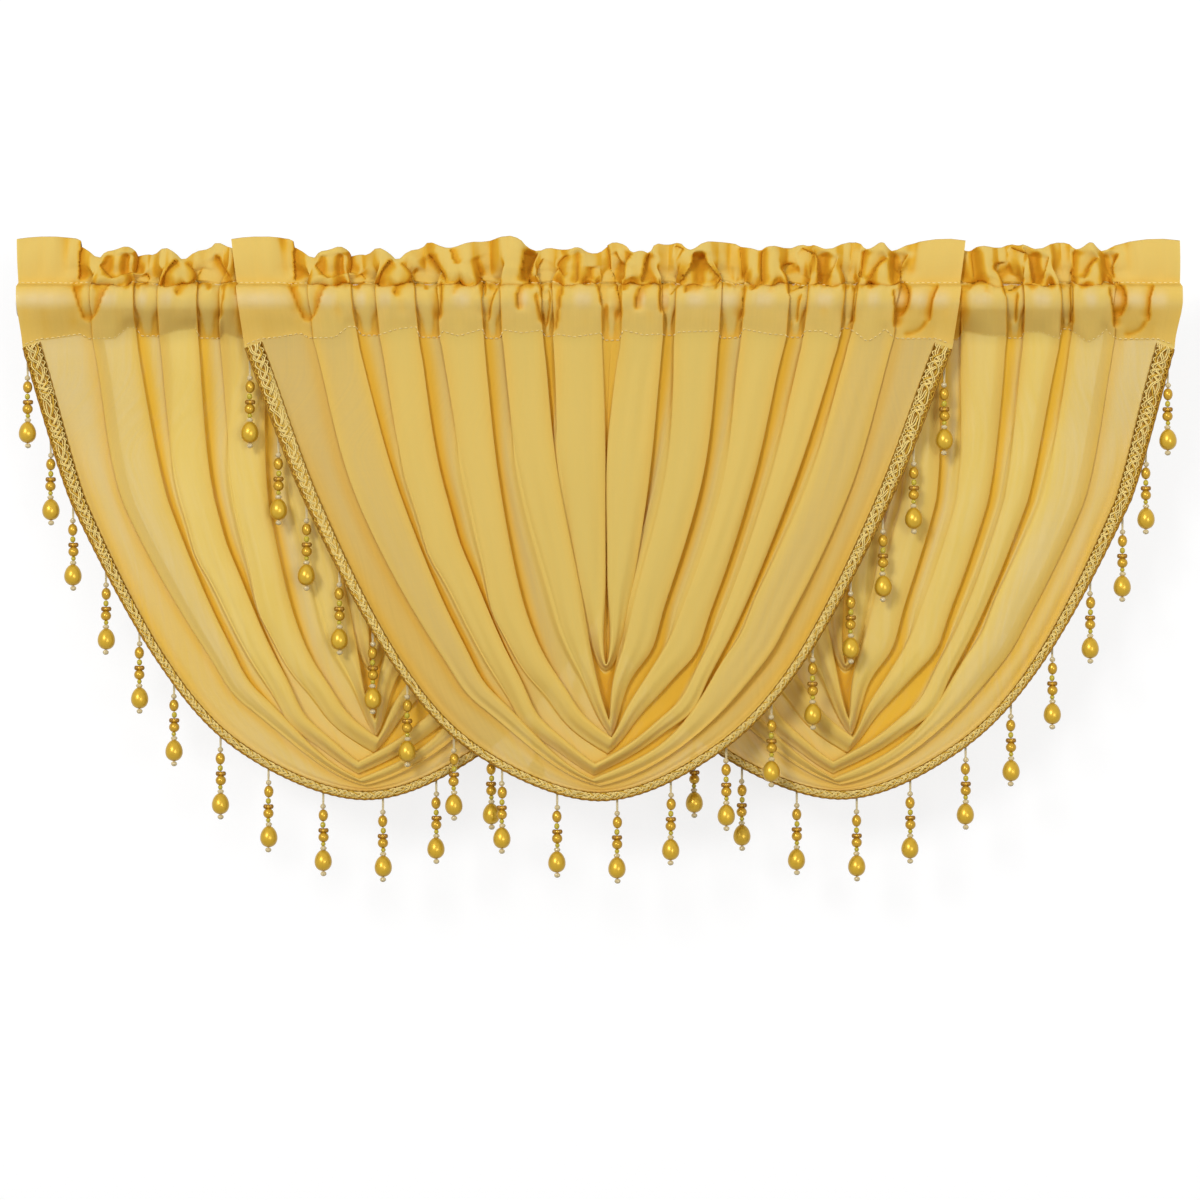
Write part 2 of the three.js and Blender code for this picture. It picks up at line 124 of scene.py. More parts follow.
# The ruffle's top edge, left to right: a row for each peak and dip
RUFFLE_TOPS = (
    (-374, 60), (-350, 63.5), (-322, 63.5), (-306, 61.5), (-303, 54), (-287, 40), (-280, 48),
    (-270, 49.5), (-259, 54), (-251, 50), (-248, 44.5), (-240, 46.5), (-232, 45), (-221, 53),
    (-210, 47), (-202, 38.5), (-191, 49), (-177, 52), (-170, 59.5), (-155, 52), (-146, 51.5),
    (-128, 58), (-113, 58.5), (-91, 64.5), (-78, 61), (-71, 52), (-60, 49), (-50, 53.5),
    (-38, 50.5), (-28, 50), (-20, 53.5), (-9, 46.5), (2, 47.5), (8, 55), (16, 59), (28, 55),
    (34, 46.5), (43, 49.5), (52, 46), (57, 57), (70, 55.5), (82, 58), (89, 50.5), (95, 49.5),
    (106, 58), (120, 58.5), (137, 57.5), (142, 54), (156, 51), (163, 48.5), (172, 54.5),
    (192, 51.5), (204, 56.5), (212, 54), (217, 55.5), (231, 49), (248, 58), (262, 58),
    (268, 50.5), (274, 51), (284, 59), (291, 51), (296, 48), (314, 57.5), (346, 62), (374, 59),
)

# Folds of the heading, each a line through points in the plane of the swag, then its width,
# how deep it is and its step: the cloth on the right of the line's run lies back by the step
# and tucks under (on the left when it is negative). Lines run upward or to the right.
HEADING_FOLDS = (
    # left end: the flat piece, the crossing folds and the rolled tongue beside it
    (((-291, -24), (-294, -15), (-298, -6), (-302, 5), (-306, 15), (-311, 21)), 1.1, 1.6, 1.5),
    (((-291, -25), (-284, -17), (-280, -8), (-277, 3), (-273, 13), (-268, 20)), 1.3, 1.6, -1.7),
    (((-301, 17), (-302, 24), (-303, 35), (-304, 48), (-303, 64)), 2.5, 1.5, 4.0),
    (((-268, 20), (-271, 24), (-277, 30), (-283, 37)), 1.6, 2.0, 3.2),
    (((-273, 22), (-274, 33), (-276, 46)), 4.0, 4.0, 0.0),
    (((-258, 24), (-258, 33), (-257, 48)), 3.2, 5.6, 0.0),
    (((-247, 26), (-246, 36), (-248, 50)), 2.2, 5.6, 3.0),
    (((-268, 20), (-262, 24), (-255, 27), (-246, 28.5), (-238, 27)), 1.1, 1.5, -3.4),
    (((-238, 27), (-235, 24), (-233, 20)), 1.3, 3.0, 1.6),
    (((-248, 19), (-243, 14), (-238, 17), (-233, 20)), 1.2, 2.4, -1.4),
    (((-264, 15), (-259, 14), (-254, 17), (-249, 19)), 1.2, 1.6, 0.0),
    (((-219, 12), (-217, 24), (-212, 33), (-203, 41)), 3.2, 2.6, 4.2),
    (((-201, 0), (-201, 10), (-199, 14.5), (-191, 15), (-187, 19), (-185, 25), (-190, 33),
      (-199, 39)), 1.3, 3.0, 2.8),
    (((-221, 14), (-211, 13.5), (-203, 15)), 1.2, 1.8, -1.6),
    (((-182, 12), (-182, 22), (-181, 34)), 1.6, 2.4, 1.6),
    (((-170, 9), (-172, 14), (-173, 19)), 1.2, 2.4, 0.0),
    (((-157, -22), (-157, -8), (-156, 5), (-156, 14), (-159, 22)), 1.1, 2.0, -1.8),
    (((-151, 17), (-155, 26), (-161, 34), (-170, 48)), 3.4, 4.6, -3.6),
    (((-155, 19), (-150, 17), (-145, 18), (-139, 20)), 1.3, 2.0, -1.8),
    (((-142, 2), (-142, 10), (-138, 17)), 1.4, 1.6, 0.0),
    (((-139, 18), (-134, 14), (-127, 15), (-122, 18)), 1.3, 2.2, -1.2),
    (((-137, 34), (-141, 37), (-144, 43), (-147, 53)), 1.2, 1.2, 1.8),
    (((-116, 22), (-117, 32), (-122, 44)), 4.5, 2.6, 0.0),
    (((-113, 0), (-113, 15), (-116, 21), (-122, 24)), 1.3, 2.6, -1.6),
    (((-109, -22), (-108, -8), (-105, 4), (-101, 12), (-95, 21)), 1.3, 2.6, -2.4),
    (((-74, 14), (-72, 26), (-70, 36), (-67, 52)), 5.0, 5.6, 0.0),
    (((-70, 15), (-68, 28), (-64, 40), (-59, 50)), 1.6, 1.0, -5.0),
    (((-77, 18), (-75, 30), (-71, 52)), 1.6, 0.5, 3.0),
    (((-62, 20), (-60, 32), (-54, 44)), 1.8, 1.0, 1.4),
    (((-78, -14), (-79, 4), (-77, 12), (-72, 14.5), (-60, 15)), 1.3, 2.4, 2.0),
    (((-54, -1), (-56, 8), (-57, 16), (-61, 20)), 1.1, 2.6, 1.4),
    (((-54, -28), (-58, -12), (-61, 2), (-61, 10)), 1.1, 2.6, 1.0),
    (((-52, -28), (-49, -10), (-48, 0), (-49, 13)), 1.1, 2.4, -1.0),
    (((-43, -34), (-40, -10), (-37, 10), (-34, 24)), 2.4, 1.2, -1.8),
    (((-31, 20), (-35, 28), (-40, 34), (-37, 40), (-28, 46)), 2.6, 4.4, 2.4),
    (((-23, 13), (-22, 28), (-21, 38), (-20, 52)), 2.4, 6.4, -2.4),
    (((-17, 19), (-12, 14.5), (-7, 17)), 1.3, 2.0, -1.6),
    (((-6, 20), (-8, 34)), 2.4, 3.0, 1.6),
    (((4, -8), (3, 5), (0, 16), (-4, 21)), 1.3, 2.6, 2.6),
    (((23, -22), (22, -8), (19, 8), (15, 22), (15, 32)), 1.2, 2.2, -2.4),
    (((13, 20), (12, 36), (11, 46), (8, 60)), 1.1, 1.6, -2.2),
    (((18, 20), (20, 30), (24, 40)), 3.6, 4.0, 0.0),
    (((26, 20), (25, 30), (27, 39), (34, 49)), 1.4, 1.0, -4.0),
    (((24, 35), (21, 41), (17, 50)), 1.3, 0.8, -1.8),
    (((26, 7), (26, 16), (30, 21)), 1.4, 2.6, 0.0),
    (((37, 15), (34, 23)), 1.6, 2.8, 0.0),
    (((46, 14), (45, 22), (47, 31), (48, 38), (52, 49)), 1.8, 3.6, 5.0),
    (((38, -14), (39, -2), (41, 7), (44, 13), (50, 14), (57, 17)), 1.4, 2.8, 2.2),
    (((63, -15), (62, 0), (63, 14), (60, 22)), 1.2, 2.4, 2.6),
    (((71, 3), (75, 10), (81, 15), (88, 20)), 1.4, 2.4, -1.8),
    (((87, 4), (88, 11), (93, 14), (104, 14)), 1.2, 2.6, 1.8),
    (((101, 12), (101, 30), (101, 50)), 5.6, 7.4, 0.0),
    (((79, 14), (87, 23), (94, 34), (97, 50)), 2.0, 1.0, 4.6),
    (((124, 18), (113, 30), (107, 38), (104, 50)), 1.3, 0.8, -4.2),
    (((86, 50), (81, 53), (76, 54)), 1.2, 1.8, -1.6),
    (((117, 8), (117, 15), (114, 22)), 1.3, 2.6, -1.4),
    (((143, -22), (143, -8), (145, 6), (146, 18)), 1.2, 2.0, -1.4),
    (((146, 18), (144, 35), (142, 58)), 4.0, 2.6, 1.2),
    (((165, 13), (164, 30), (165, 54)), 2.6, 6.8, 2.6),
    (((153, 8), (157, 14), (162, 16), (166, 20)), 1.4, 3.0, -2.4),
    (((169, 4), (174, 14), (178, 24)), 1.5, 1.2, 1.2),
    (((190, 2), (190, 20), (187, 28), (183, 32), (187, 36), (198, 38)), 1.5, 3.4, 2.8),
    (((188, 27), (194, 31), (202, 33)), 4.0, 2.4, 0.0),
    (((198, -24), (199, -5), (203, 8)), 1.3, 2.0, -1.2),
    (((192, 9), (199, 12), (205, 14), (212, 22)), 1.4, 3.0, -2.6),
    (((210, 13), (217, 17), (222, 16.5), (230, 14), (242, 14)), 1.2, 2.0, -1.8),
    (((224, 14), (224, 30), (228, 50)), 5.2, 6.6, 0.0),
    (((222, 16), (219, 30), (220, 42), (214, 54)), 1.4, 0.8, 4.4),
    (((227, 16), (233, 30), (240, 44)), 2.0, 0.4, -2.0),
    (((203, 54), (208, 50), (219, 45)), 1.2, 1.8, 1.6),
    (((254, -28), (253, -10), (254, 5), (256, 15), (261, 21)), 1.2, 2.6, -2.2),
    (((262, 19), (264, 32), (267, 52)), 3.2, 5.8, 3.2),
    (((271, 19), (275, 30), (281, 38), (290, 44)), 2.0, 3.4, -4.6),
    (((271, 10), (272, 17), (280, 14)), 1.3, 2.4, 0.0),
    (((296, 12), (296, 30), (298, 50)), 4.6, 5.8, 0.0),
    (((295, -30), (296, -10), (295, 5), (293, 14)), 1.4, 1.4, 2.4),
    (((303, 20), (301, 28), (303, 36), (311, 48)), 1.4, 1.0, -4.4),
    (((300, -19), (307, -8), (309, 4), (307, 14), (302, 22)), 1.2, 2.0, -2.8),
    (((310, -12), (313, 2), (312, 12), (307, 21)), 1.1, -1.0, 0.0),
    (((330, -24), (331, -8), (333, 2), (338, 13), (340, 18)), 1.4, 1.4, -2.2),
    (((302, -34), (312, -34), (323, -29), (329, -18)), 1.8, 1.4, 0.0),
)

# Where the rod stretches the pocket's front and shows through as a painted highlight, where the
# weave also opens: centre and reach along the rod
TAUT_GLINT_PATCHES = (
    (-335, 30), (-270, 9), (-236, 5), (-212, 6), (-136, 9), (-74, 5), (-15, 9), (44, 4),
    (67, 3.5), (98, 10), (130, 9), (165, 11), (225, 9), (274, 6), (301, 5), (319, 9),
    (341, 9), (368, 3),
)

# How far the lower row of stitches strays up or down
SEAM_SWAY = (
    (-354, 0), (-330, 0), (-296, 4), (-288, -1), (-262, -2), (-249, 8), (-241, 7), (-236, -1),
    (-219, -1), (-200, 5), (-181, 7), (-178, -3), (-158, -3), (-155, 3), (-139, -2), (-115, 5),
    (-112, -4), (-98, -4), (-94, 4), (-75, 1), (-56, 4), (-53, -2), (-44, -2), (-42, 0),
    (-24, -3), (3, 1), (6, -6), (21, -6), (25, 4), (45, -1), (64, 0), (66, -1), (76, -1),
    (80, 2), (120, 3), (122, -4), (141, -3), (145, 5), (170, 0), (187, -1), (190, -3),
    (203, -3), (206, 3), (222, 3), (240, -4), (243, 6), (250, 6), (258, 1), (268, -6),
    (280, 2), (286, 9), (293, 2), (300, 0), (354, 0),
)

# The beaded drops' places across a swag, uneven as they hang
DROP_PLACES = (-347.5, -319, -291, -258, -225, -190, -144, -96, -41,
               19, 73, 128, 173, 214, 252, 284, 315, 345.5)
DROP_LENGTH = 87.0
DROP_LENGTH_AT_ENDS = 95.0
DROPS_SHORTEN = (-350.0, -80.0)

# Beads of one drop: the kind, its middle above the drop's lowest point, its height and width
BEADS = (
    ("clear", 2.6, 5.2, 6.2),
    ("pearl", 16.0, 21.6, 16.9),
    ("clear", 28.2, 4.8, 6.6),
    ("seed", 32.4, 4.4, 4.8),
    ("round", 39.3, 10.4, 10.6),
    ("rondelle", 46.1, 4.8, 10.5),
    ("seed", 51.6, 6.2, 5.4),
    ("oval", 61.2, 12.4, 9.6),
    ("clear", 70.2, 5.6, 5.8),
)
# Flat sides round each kind of bead and points down its outline
BEAD_DETAIL = {"pearl": (26, 17), "round": (20, 12), "oval": (18, 12), "seed": (12, 8),
               "clear": (12, 8)}
# A rondelle's outline: shares of its half width and of its height
RONDELLE_OUTLINE = ((0.1, -0.4), (0.6, -0.5), (0.88, -0.42), (1.0, -0.12), (1.0, 0.12),
                    (0.88, 0.42), (0.6, 0.5), (0.1, 0.4))

# The three valances: centre, how the heading leans, the stretch of the rod that the pocket
# holds, the seed of its small waves, depth of seam, swag and empty pocket along the rod, and
# how far the heading's left and right ends reach past the swag.
VALANCES = {
    "left_valance": dict(
        centre=345, lean=0.0875, rod_from=0, rod_to=224, seed=11,
        seam_y=((0, -10), (150, 0), (190, 0), (236, 14)), body_y=((30, 1), (190, 11)),
        empty_y=((0, 28),), reach=(2.5, 0)),
    "middle_valance": dict(
        centre=580, lean=0.0, rod_from=0, rod_to=ROD_LENGTH, seed=12,
        seam_y=((0, -12),), body_y=((0, -12),), empty_y=((0, 28),), reach=(0, 0)),
    "right_valance": dict(
        centre=821, lean=-0.125, rod_from=940, rod_to=ROD_LENGTH, seed=13,
        seam_y=((745, 36), (790, 14), (925, 14), (970, 0), (1010, 0), (1160, -10)),
        body_y=((700, 38), (840, 19), (1000, 8), (1130, 1)), empty_y=((745, 44), (785, 28)),
        reach=(0, 6.0)),
}

STATIONS = 106            # steps along every crease, from seam over tip to seam
CREASE_RUN = 1100.0       # about the length of a long crease
POCKET_ROWS, RUFFLE_ROWS = 27, 31

# Sun lamps: name, place that they shine from, strength and angle across in degrees
LAMPS = (("key", (-1.3, -2.8, 1.2), 1.45, 16), ("fill", (1.1, -2.8, -0.05), 0.85, 20))
AMBIENT = 0.66            # light from all round; where the room is seen itself it is 1
STAGE_GREY, STAGE_GLOW = (0.22, 0.22, 0.22), 0.8
# In metres: the backdrop and floor, and the eye beside the middle and below the rod
STAGE_WIDTH, STAGE_DEPTH, WALL_FOOT, WALL_TOP = 6.0, 5.8, -1.05, 1.85
EYE_ASIDE, EYE_HEIGHT = 0.001, -0.2995


# ---------------------------------------------------------------- small helpers

def smooth(value, low, high):
    """0 below low, 1 above high and an eased step between."""
    part = np.clip((np.asarray(value, float) - low) / (high - low), 0, 1)
    return part * part * (3 - 2 * part)


def mix(a, b, part):
    return a + (b - a) * part


def between(rows, x):
    """Value of a table of (x, value) rows, straight between them and level past its ends."""
    rows = np.asarray(rows, float)
    return np.interp(x, rows[:, 0], rows[:, 1])


def ripple(seed, first, second, first_length, second_length, waves=7):
    """Soft uneven waves over two coordinates, about -1 to 1, the same for the same seed."""
    random = np.random.default_rng(seed)
    total = 0.0
    for _ in range(waves):
        turn = random.uniform(-1, 1)
        a = random.uniform(0.6, 1.5) / first_length
        b = turn * random.uniform(0.4, 1.3) / second_length
        total = total + np.sin(2 * np.pi * (a * first + b * second + random.uniform(0, 1)))
    return total / math.sqrt(waves)


def run_length(points):
    """Length from the first point to every point of a polyline."""
    return np.concatenate([[0], np.cumsum(np.linalg.norm(np.diff(points, axis=0), axis=1))])


def round_corners(lines):
    """Cuts every corner of a polyline once, keeping its ends; the first axis runs along it."""
    near = lines[:-1] * 0.75 + lines[1:] * 0.25
    far = lines[:-1] * 0.25 + lines[1:] * 0.75
    out = np.empty((2 * len(near) + 2,) + lines.shape[1:])
    out[0], out[-1] = lines[0], lines[-1]
    out[1:-1:2], out[2:-1:2] = near, far
    return out


# ---------------------------------------------------------------- crease lines

def seam_height(x):
    return SEAM_HEIGHT - SEAM_END_DIP * smooth(np.abs(x), SEAM_DIP_STARTS, HEM_HALF_WIDTH)


def crease_points(name):
    """The nine points that a crease passes through, left seam, tip, right seam."""
    crease = dict(zip(CREASE_COLUMNS, CREASES[name]))

    def side(which):
        points = []
        for level, part in CREASE_LEVELS:
            x = crease[f"{which}_{level}"]
            z = seam_height(x) if part == 0 else DROP_FROM - part * crease["drop"]
            points.append((x, float(z)))
        return points

    tip = (crease["tip"], DROP_FROM - crease["drop"])
    return np.array(side("left") + [tip] + side("right")[::-1], float)


def curve_at(points, along, point_at_tip=0.0):
    """A smooth curve through the points, and its direction, at places from 0 to 1. With a
    pointed tip its two halves meet at an angle."""
    count = len(points)
    place = np.clip(np.asarray(along, float), 0, 1) * (count - 1)
    index = np.minimum(place.astype(int), count - 2)
    part = (place - index)[..., None]
    padded = np.vstack([2 * points[0] - points[1], points, 2 * points[-1] - points[-2]])
    p0, p1, p2, p3 = (padded[index + step] for step in range(4))
    t1, t2 = (p2 - p0) / 2, (p3 - p1) / 2
    middle = count // 2
    t2 = np.where((index == middle - 1)[..., None], mix(t2, p2 - p1, point_at_tip), t2)
    t1 = np.where((index == middle)[..., None], mix(t1, p2 - p1, point_at_tip), t1)
    c2, c3 = 3 * (p2 - p1) - 2 * t1 - t2, 2 * (p1 - p2) + t1 + t2
    return ((c3 * part + c2) * part + t1) * part + p1, (3 * c3 * part + 2 * c2) * part + t1


POINTS = {name: crease_points(name) for name in CREASES}


def at(name, along):
    """Places x, z of a crease, bent out where its pleat turns with an elbow."""
    line = curve_at(POINTS[name], along, TIP_POINTS.get(name, 0.75))[0]
    for pleat, x, z, out in ELBOWS:
        if name.startswith(f"pleat{pleat}_"):
            near = np.exp(-((line - (x, z)) ** 2).sum(1) / ELBOW_REACH ** 2)[:, None]
            line = line + near * out * np.array([math.copysign(0.75, x), -0.66])
    return line


def tipness(along):
    """0 on the arms of a swag, 1 round its lowest point."""
    return 1 - smooth(np.abs(along - 0.5), 0.06, 0.28)


def fullness(along):
    """Pleats are shallower where the seam gathers them."""
    return mix(1, 0.5, 1 - smooth(np.minimum(along, 1 - along), 0, 0.16))


def braid_width(along):
    return mix(BRAID_NARROW, BRAID_BROAD, smooth(np.abs(along - 0.5), 0.2, 0.49))


def beside_hem(along, inward):
    """The hem moved sideways in the plane of the swag, inward towards its middle."""
    point, tangent = curve_at(POINTS["hem"], along)
    tangent = tangent / np.linalg.norm(tangent, axis=-1, keepdims=True)
    inward = np.asarray(inward, float)
    return np.stack([point[..., 0] - tangent[..., 1] * inward,
                     point[..., 1] + tangent[..., 0] * inward], -1)


def hang(valance, place, depth):
    """Places points of a swag's own plane in the frame, at a depth from its middle depth."""
    sheared = np.maximum(0, place[..., 1] - SHEAR_STARTS)
    x = valance["centre"] + place[..., 0] + valance["lean"] * sheared
    low = smooth(-place[..., 1], -SEAM_HEIGHT, 150)
    y = mix(between(valance["seam_y"], x), between(valance["body_y"], x), low) + depth
    return np.stack([x, y, place[..., 1]], -1)


# ---------------------------------------------------------------- the cloth

# What a carrying line takes up into the heading: how far its cloth stands forward (1 on a
# pleat's face, 0 in a gap), its place across a gap (-1 to 1, or NO_GAP) and whether it is the
# middle of a face (1) or of a gap (-1).
FORWARD, GAP, ANCHOR = 0, 1, 2
NO_GAP = 9.0


def carrying_lines(along):
    """The lines of one swag's cloth from slit to hem: places (line, station, x z depth),
    marks (line, mark) and tints (line, station, deep single). Deep is painted shade in folds,
    gaps and creases, partly the deeper colour of cloth lying double."""
    rows, marks, tints = [], [], []
    tip = tipness(along)
    wide = tip[:, None]
    left = 1 - smooth(along, 0.46, 0.54)
    by_seam = 1 - smooth(np.minimum(along, 1 - along), 0.02, 0.12)
    off_seam = 1 - by_seam
    # the fold on a ribbon's right is crisp, the one on its left is soft; the crisp side also gets
    # painted shadow, as if cast to the right by a light from the upper left
    in_crisp, out_crisp = np.maximum(left, by_seam), np.maximum(1 - left, by_seam)
    crisp_in, crisp_out = in_crisp[:, None], out_crisp[:, None]
    lifted = (1 - in_crisp) * (1 - tip)

    # deep: painted shade laid into the cloth's colour, halved before it is stored
    def add(place, depth, forward=0.0, deep=0.0, single=0.0, gap=NO_GAP, anchor=0.0):
        rows.append(np.concatenate([place, np.broadcast_to(depth, along.shape)[:, None]], 1))
        marks.append((forward, gap, anchor))
        tints.append(np.stack([np.broadcast_to(0.5 * np.asarray(deep), along.shape),
                               np.broadcast_to(single, along.shape)], 1))

    slit = at("slit", along)
    for pleat, whole in enumerate(PLEAT_DEPTHS, 1):
        is_last = pleat == len(PLEAT_DEPTHS)
        deep, face = whole / 2, -whole / 2
        inner, outer = at(f"pleat{pleat}_inner", along), at(f"pleat{pleat}_outer", along)
        across = outer - inner
        width = np.linalg.norm(across, axis=1, keepdims=True)
        unit = across / np.maximum(width, 1e-6)
        slim = np.clip(width / 40, 0.25, 1)

        def on_face(part, offset=0.0):
            return inner + across * part + unit * offset * slim

        # the slit's cloth, or the floor of the gap before this ribbon and its way up
        if pleat == 1:
            # painted shade down the slit between the innermost pleats
            add(slit, deep * 0.4, 0, 0.85, gap=0, anchor=-1)
            add(mix(slit, inner, 0.6), deep * 0.3, 0, 0.9, gap=0.8)
            add(mix(slit, inner, 0.9), 0.0, 0.3, 0.75)
        else:
            before = at(f"pleat{pleat - 1}_outer", along)
            room = np.linalg.norm(inner - before, axis=1, keepdims=True)
            ease = -np.minimum(4.5 + 4.5 * (1 - wide), (0.16 + 0.14 * (1 - wide)) * room) / slim
            tuck = on_face(0.45)
            foot = on_face(0, ease * 1.12 * (1 - crisp_in) * (1 - wide))
            shift = 0 if pleat == 2 else wide
            # painted shade: on each gap's floor beside the crisp fold, fading away from it, and in
            # the cavity round the tip
            cavity_shade = tip * (1.45 if pleat == 2 else 0.6)
            for part in (0.14, 0.38, 0.62, 0.86):
                from_crisp = mix(part, 1 - part, left)
                shade = np.maximum(1 - smooth(from_crisp * room[:, 0], 5, 20), cavity_shade)
                slope = 1.05 * from_crisp * off_seam * (1 - tip)
                add(mix(mix(floor_edge, foot, part), tuck, shift),
                    deep * (0.8 - 0.15 * abs(2 * part - 1) - 0.85 * slope), 0,
                    shade, 0.8 - 0.5 * shade, gap=2 * part - 1, anchor=-1 if part == 0.38 else 0)
            add(mix(on_face(0, mix(ease, 3.2, crisp_in)), tuck, wide),
                deep * (0.9 - 0.95 * lifted), 0, 0.1 + 0.85 * in_crisp, 0.4, gap=1)
            add(mix(on_face(0, mix(ease * 0.55, 3.4, crisp_in)), mix(inner, tuck, 0.6), wide),
                deep * (0.2 - 0.6 * lifted), 0.1, 0.1 + 0.85 * in_crisp)

        # the ribbon's face from its inner fold to its outer one, painted darker along its crisp
        # fold as shadow and near the tip as shade
        add(on_face(0, mix(-0.8, 1.6, crisp_in)), mix(face + 4.0, face * 0.7, lifted), 0.6,
            0.28 + 0.62 * in_crisp)
        add(on_face(0, mix(0.2, -0.7, crisp_in)), mix(face + 1.4, face * 0.9, lifted), 0.9,
            0.2 + 0.1 * in_crisp)
        add(on_face(0, 2.2), face - 0.4, 1.0, 0.12 + 0.38 * in_crisp)
        low, pale = 0.2 * tip, 0.6 * (1 - tip) if is_last else 0.0
        add(on_face(0.22), face - 1.3, 1.0, 0.15 * in_crisp + low, pale)
        add(on_face(0.5), mix(face - 2.0, face * 0.7, tip * 0.55), 1.0, low, pale, anchor=1)
        add(on_face(0.78), mix(face - 0.6, face * 0.2, tip), 1.0, 0.15 * out_crisp + low, pale)
        tip_out = tip * (0.0 if is_last else 1.0)
        add(on_face(1, -2.2), mix(face + 0.6, 0.6, tip_out), 1.0, 0.12 + 0.38 * out_crisp)
        add(on_face(1, 0.6), mix(face + 2.2, 1.4, tip_out), 0.9, 0.1 + 0.2 * out_crisp)

        # its outer edge, turned under where it is crisp and eased down where it is soft, with
        # painted shade along the turn
        flap = np.minimum(0.3 * width, 11.0 if is_last else 9.0)
        under = outer - unit * flap
        if is_last:
            add(mix(outer, under, 0.35), face + 4.4, 0.6, 0.5)
            add(under, face + 4.8, 0.5, 0.5)
            add(under - unit * 0.4, face + 6.0, 0.45, 0.5)
            add(mix(outer, under, 0.45), face + 6.8, 0.45, 0.3, 0.6)
            continue
        eased = 1 - crisp_out
        easing = eased[:, 0]
        spread = np.maximum(tip_out[:, None], eased)
        following = at(f"pleat{pleat + 1}_inner", along)
        room = np.linalg.norm(following - outer, axis=1, keepdims=True)
        out = unit * np.minimum(1, room / 26) * (1 + 1.1 * eased * (1 - tip_out[:, None]))
        add(mix(mix(outer, under, 0.35), outer + out * 1.6, spread),
            mix(mix(face + 4.4, face * 0.8, easing), 2.6, tip_out), 0.6,
            0.26 + 0.34 * np.maximum(out_crisp, tip_out))
        add(mix(under, outer + out * 2.4, spread),
            mix(mix(face + 5.0, face * 0.6, easing), 4.0, tip_out), 0.4,
            0.1 + 0.9 * np.maximum(out_crisp, 0.5 * tip_out))
        add(mix(under - unit * 0.8, outer + out * 3.2, spread),
            mix(mix(0.0, face * 0.35, easing), 5.0, tip_out), 0.1,
            0.1 + 0.9 * np.maximum(out_crisp, 0.4 * tip_out))
        add(mix(under + unit * 1.0, outer + out * 4.4, spread),
            deep * mix(0.85, -0.1, easing * (1 - tip_out)), 0,
            0.1 + 0.85 * out_crisp, 0.5, gap=-1)
        floor_edge = mix(outer, outer + out * 4.9, eased * (1 - tip_out[:, None]))

    # the flat strip beside the hem and the hem below the braid, with painted shade beside the
    # braid, beside the last pleat and darker towards the strip's lower part
    outer = at("pleat5_outer", along)
    braid = braid_width(along)
    band_edge = beside_hem(along, braid)
    room = np.linalg.norm(band_edge - outer, axis=1)
    lower_strip_shade = smooth(-outer[:, 1], 150, 330) * (1 - 0.5 * tip)
    for part, depth in ((0.1, 0.9), (0.24, 1.4), (0.4, 1.0), (0.55, 1.0), (0.68, 1.4),
                        (0.8, 2.2), (0.91, 1.6)):
        braid_shade = 1 - smooth((1 - part) * room, 3, 24)
        braid_shade = braid_shade * off_seam * (0.6 + 0.25 * lower_strip_shade) * (1 - 0.5 * tip)
        pleat_shade = (0.7 + 0.2 * lower_strip_shade) * (1 - smooth(part * room, 2, 18))
        shade = np.maximum(np.maximum(pleat_shade, braid_shade), 0.45 * lower_strip_shade)
        add(mix(outer, band_edge, part), depth, 0.45, shade, 1.0 - 0.2 * lower_strip_shade,
            anchor=-1 if part == 0.4 else 0)
    add(band_edge, -1.8, 0.45, 0.62 * off_seam, 0.6)
    add(beside_hem(along, braid * 0.6), -1.3, 0.45, 0.6 * off_seam)
    add(beside_hem(along, braid * 0.25), -0.6, 0.45, 0.6 * off_seam)
    add(beside_hem(along, 0.4), 0.0, 0.45, 0.6 * off_seam, anchor=-1)
    return np.array(rows), np.array(marks), np.array(tints)


def swag_cloth(valance):
    """Points (line, station, xyz) of the swag below its seam, its lines before they are hung,
    and the lines' marks and tints."""
    along = np.linspace(0, 1, STATIONS + 1)
    lines, marks, tints = carrying_lines(along)
    lines[:, :, 2] *= fullness(along)
    for _ in range(2):
        lines, marks, tints = round_corners(lines), round_corners(marks), round_corners(tints)
    seed = valance["seed"]
    across = run_length(lines[:, STATIONS // 8])[:, None]
    run = along[None, :] * CREASE_RUN
    calm = smooth(np.minimum(along, 1 - along), 0.0, 0.04)[None, :]
    soft = 0.9 * ripple(seed, across, run, 90, 260) + 0.35 * ripple(seed + 1, across, run, 22, 240)
    lines[:, :, 2] += soft * calm * (1 - 0.6 * tipness(along))[None, :]
    lines[:, :, 0] += 0.8 * ripple(seed + 2, across, run, 160, 190) * calm
    lines[:, :, 1] += 0.5 * ripple(seed + 3, across, run, 160, 190) * calm
    return hang(valance, lines[..., :2], lines[..., 2]), lines, marks, tints


def heading_x(valance, local, seam_z, z):
    """Where a column of the heading stands along the rod: it flares and leans as it rises."""
    rise = (z - seam_z) / (HEADING_TOP - seam_z)
    left, right = valance["reach"]
    past = np.interp(local, (-HEM_HALF_WIDTH, -300, 300, HEM_HALF_WIDTH), (-left, 0, 0, right))
    past = past * smooth(z, seam_z, 0)
    return (valance["centre"] + local * (1 + HEADING_FLARE * rise) + past
            + valance["lean"] * (z - SHEAR_STARTS))


def own_x(valance, x, z):
    """Distance from a swag's middle line, which leans above the level where it shears."""
    return x - valance["centre"] - valance["lean"] * np.maximum(0, z - SHEAR_STARTS)


def slit_x(side, z):
    """Where the rod leaves a side valance's pocket, just behind the end of the middle one."""
    end = POINTS["hem"][0 if side < 0 else -1]
    return heading_x(VALANCES["middle_valance"], end[0], end[1], z) - side * 1.2


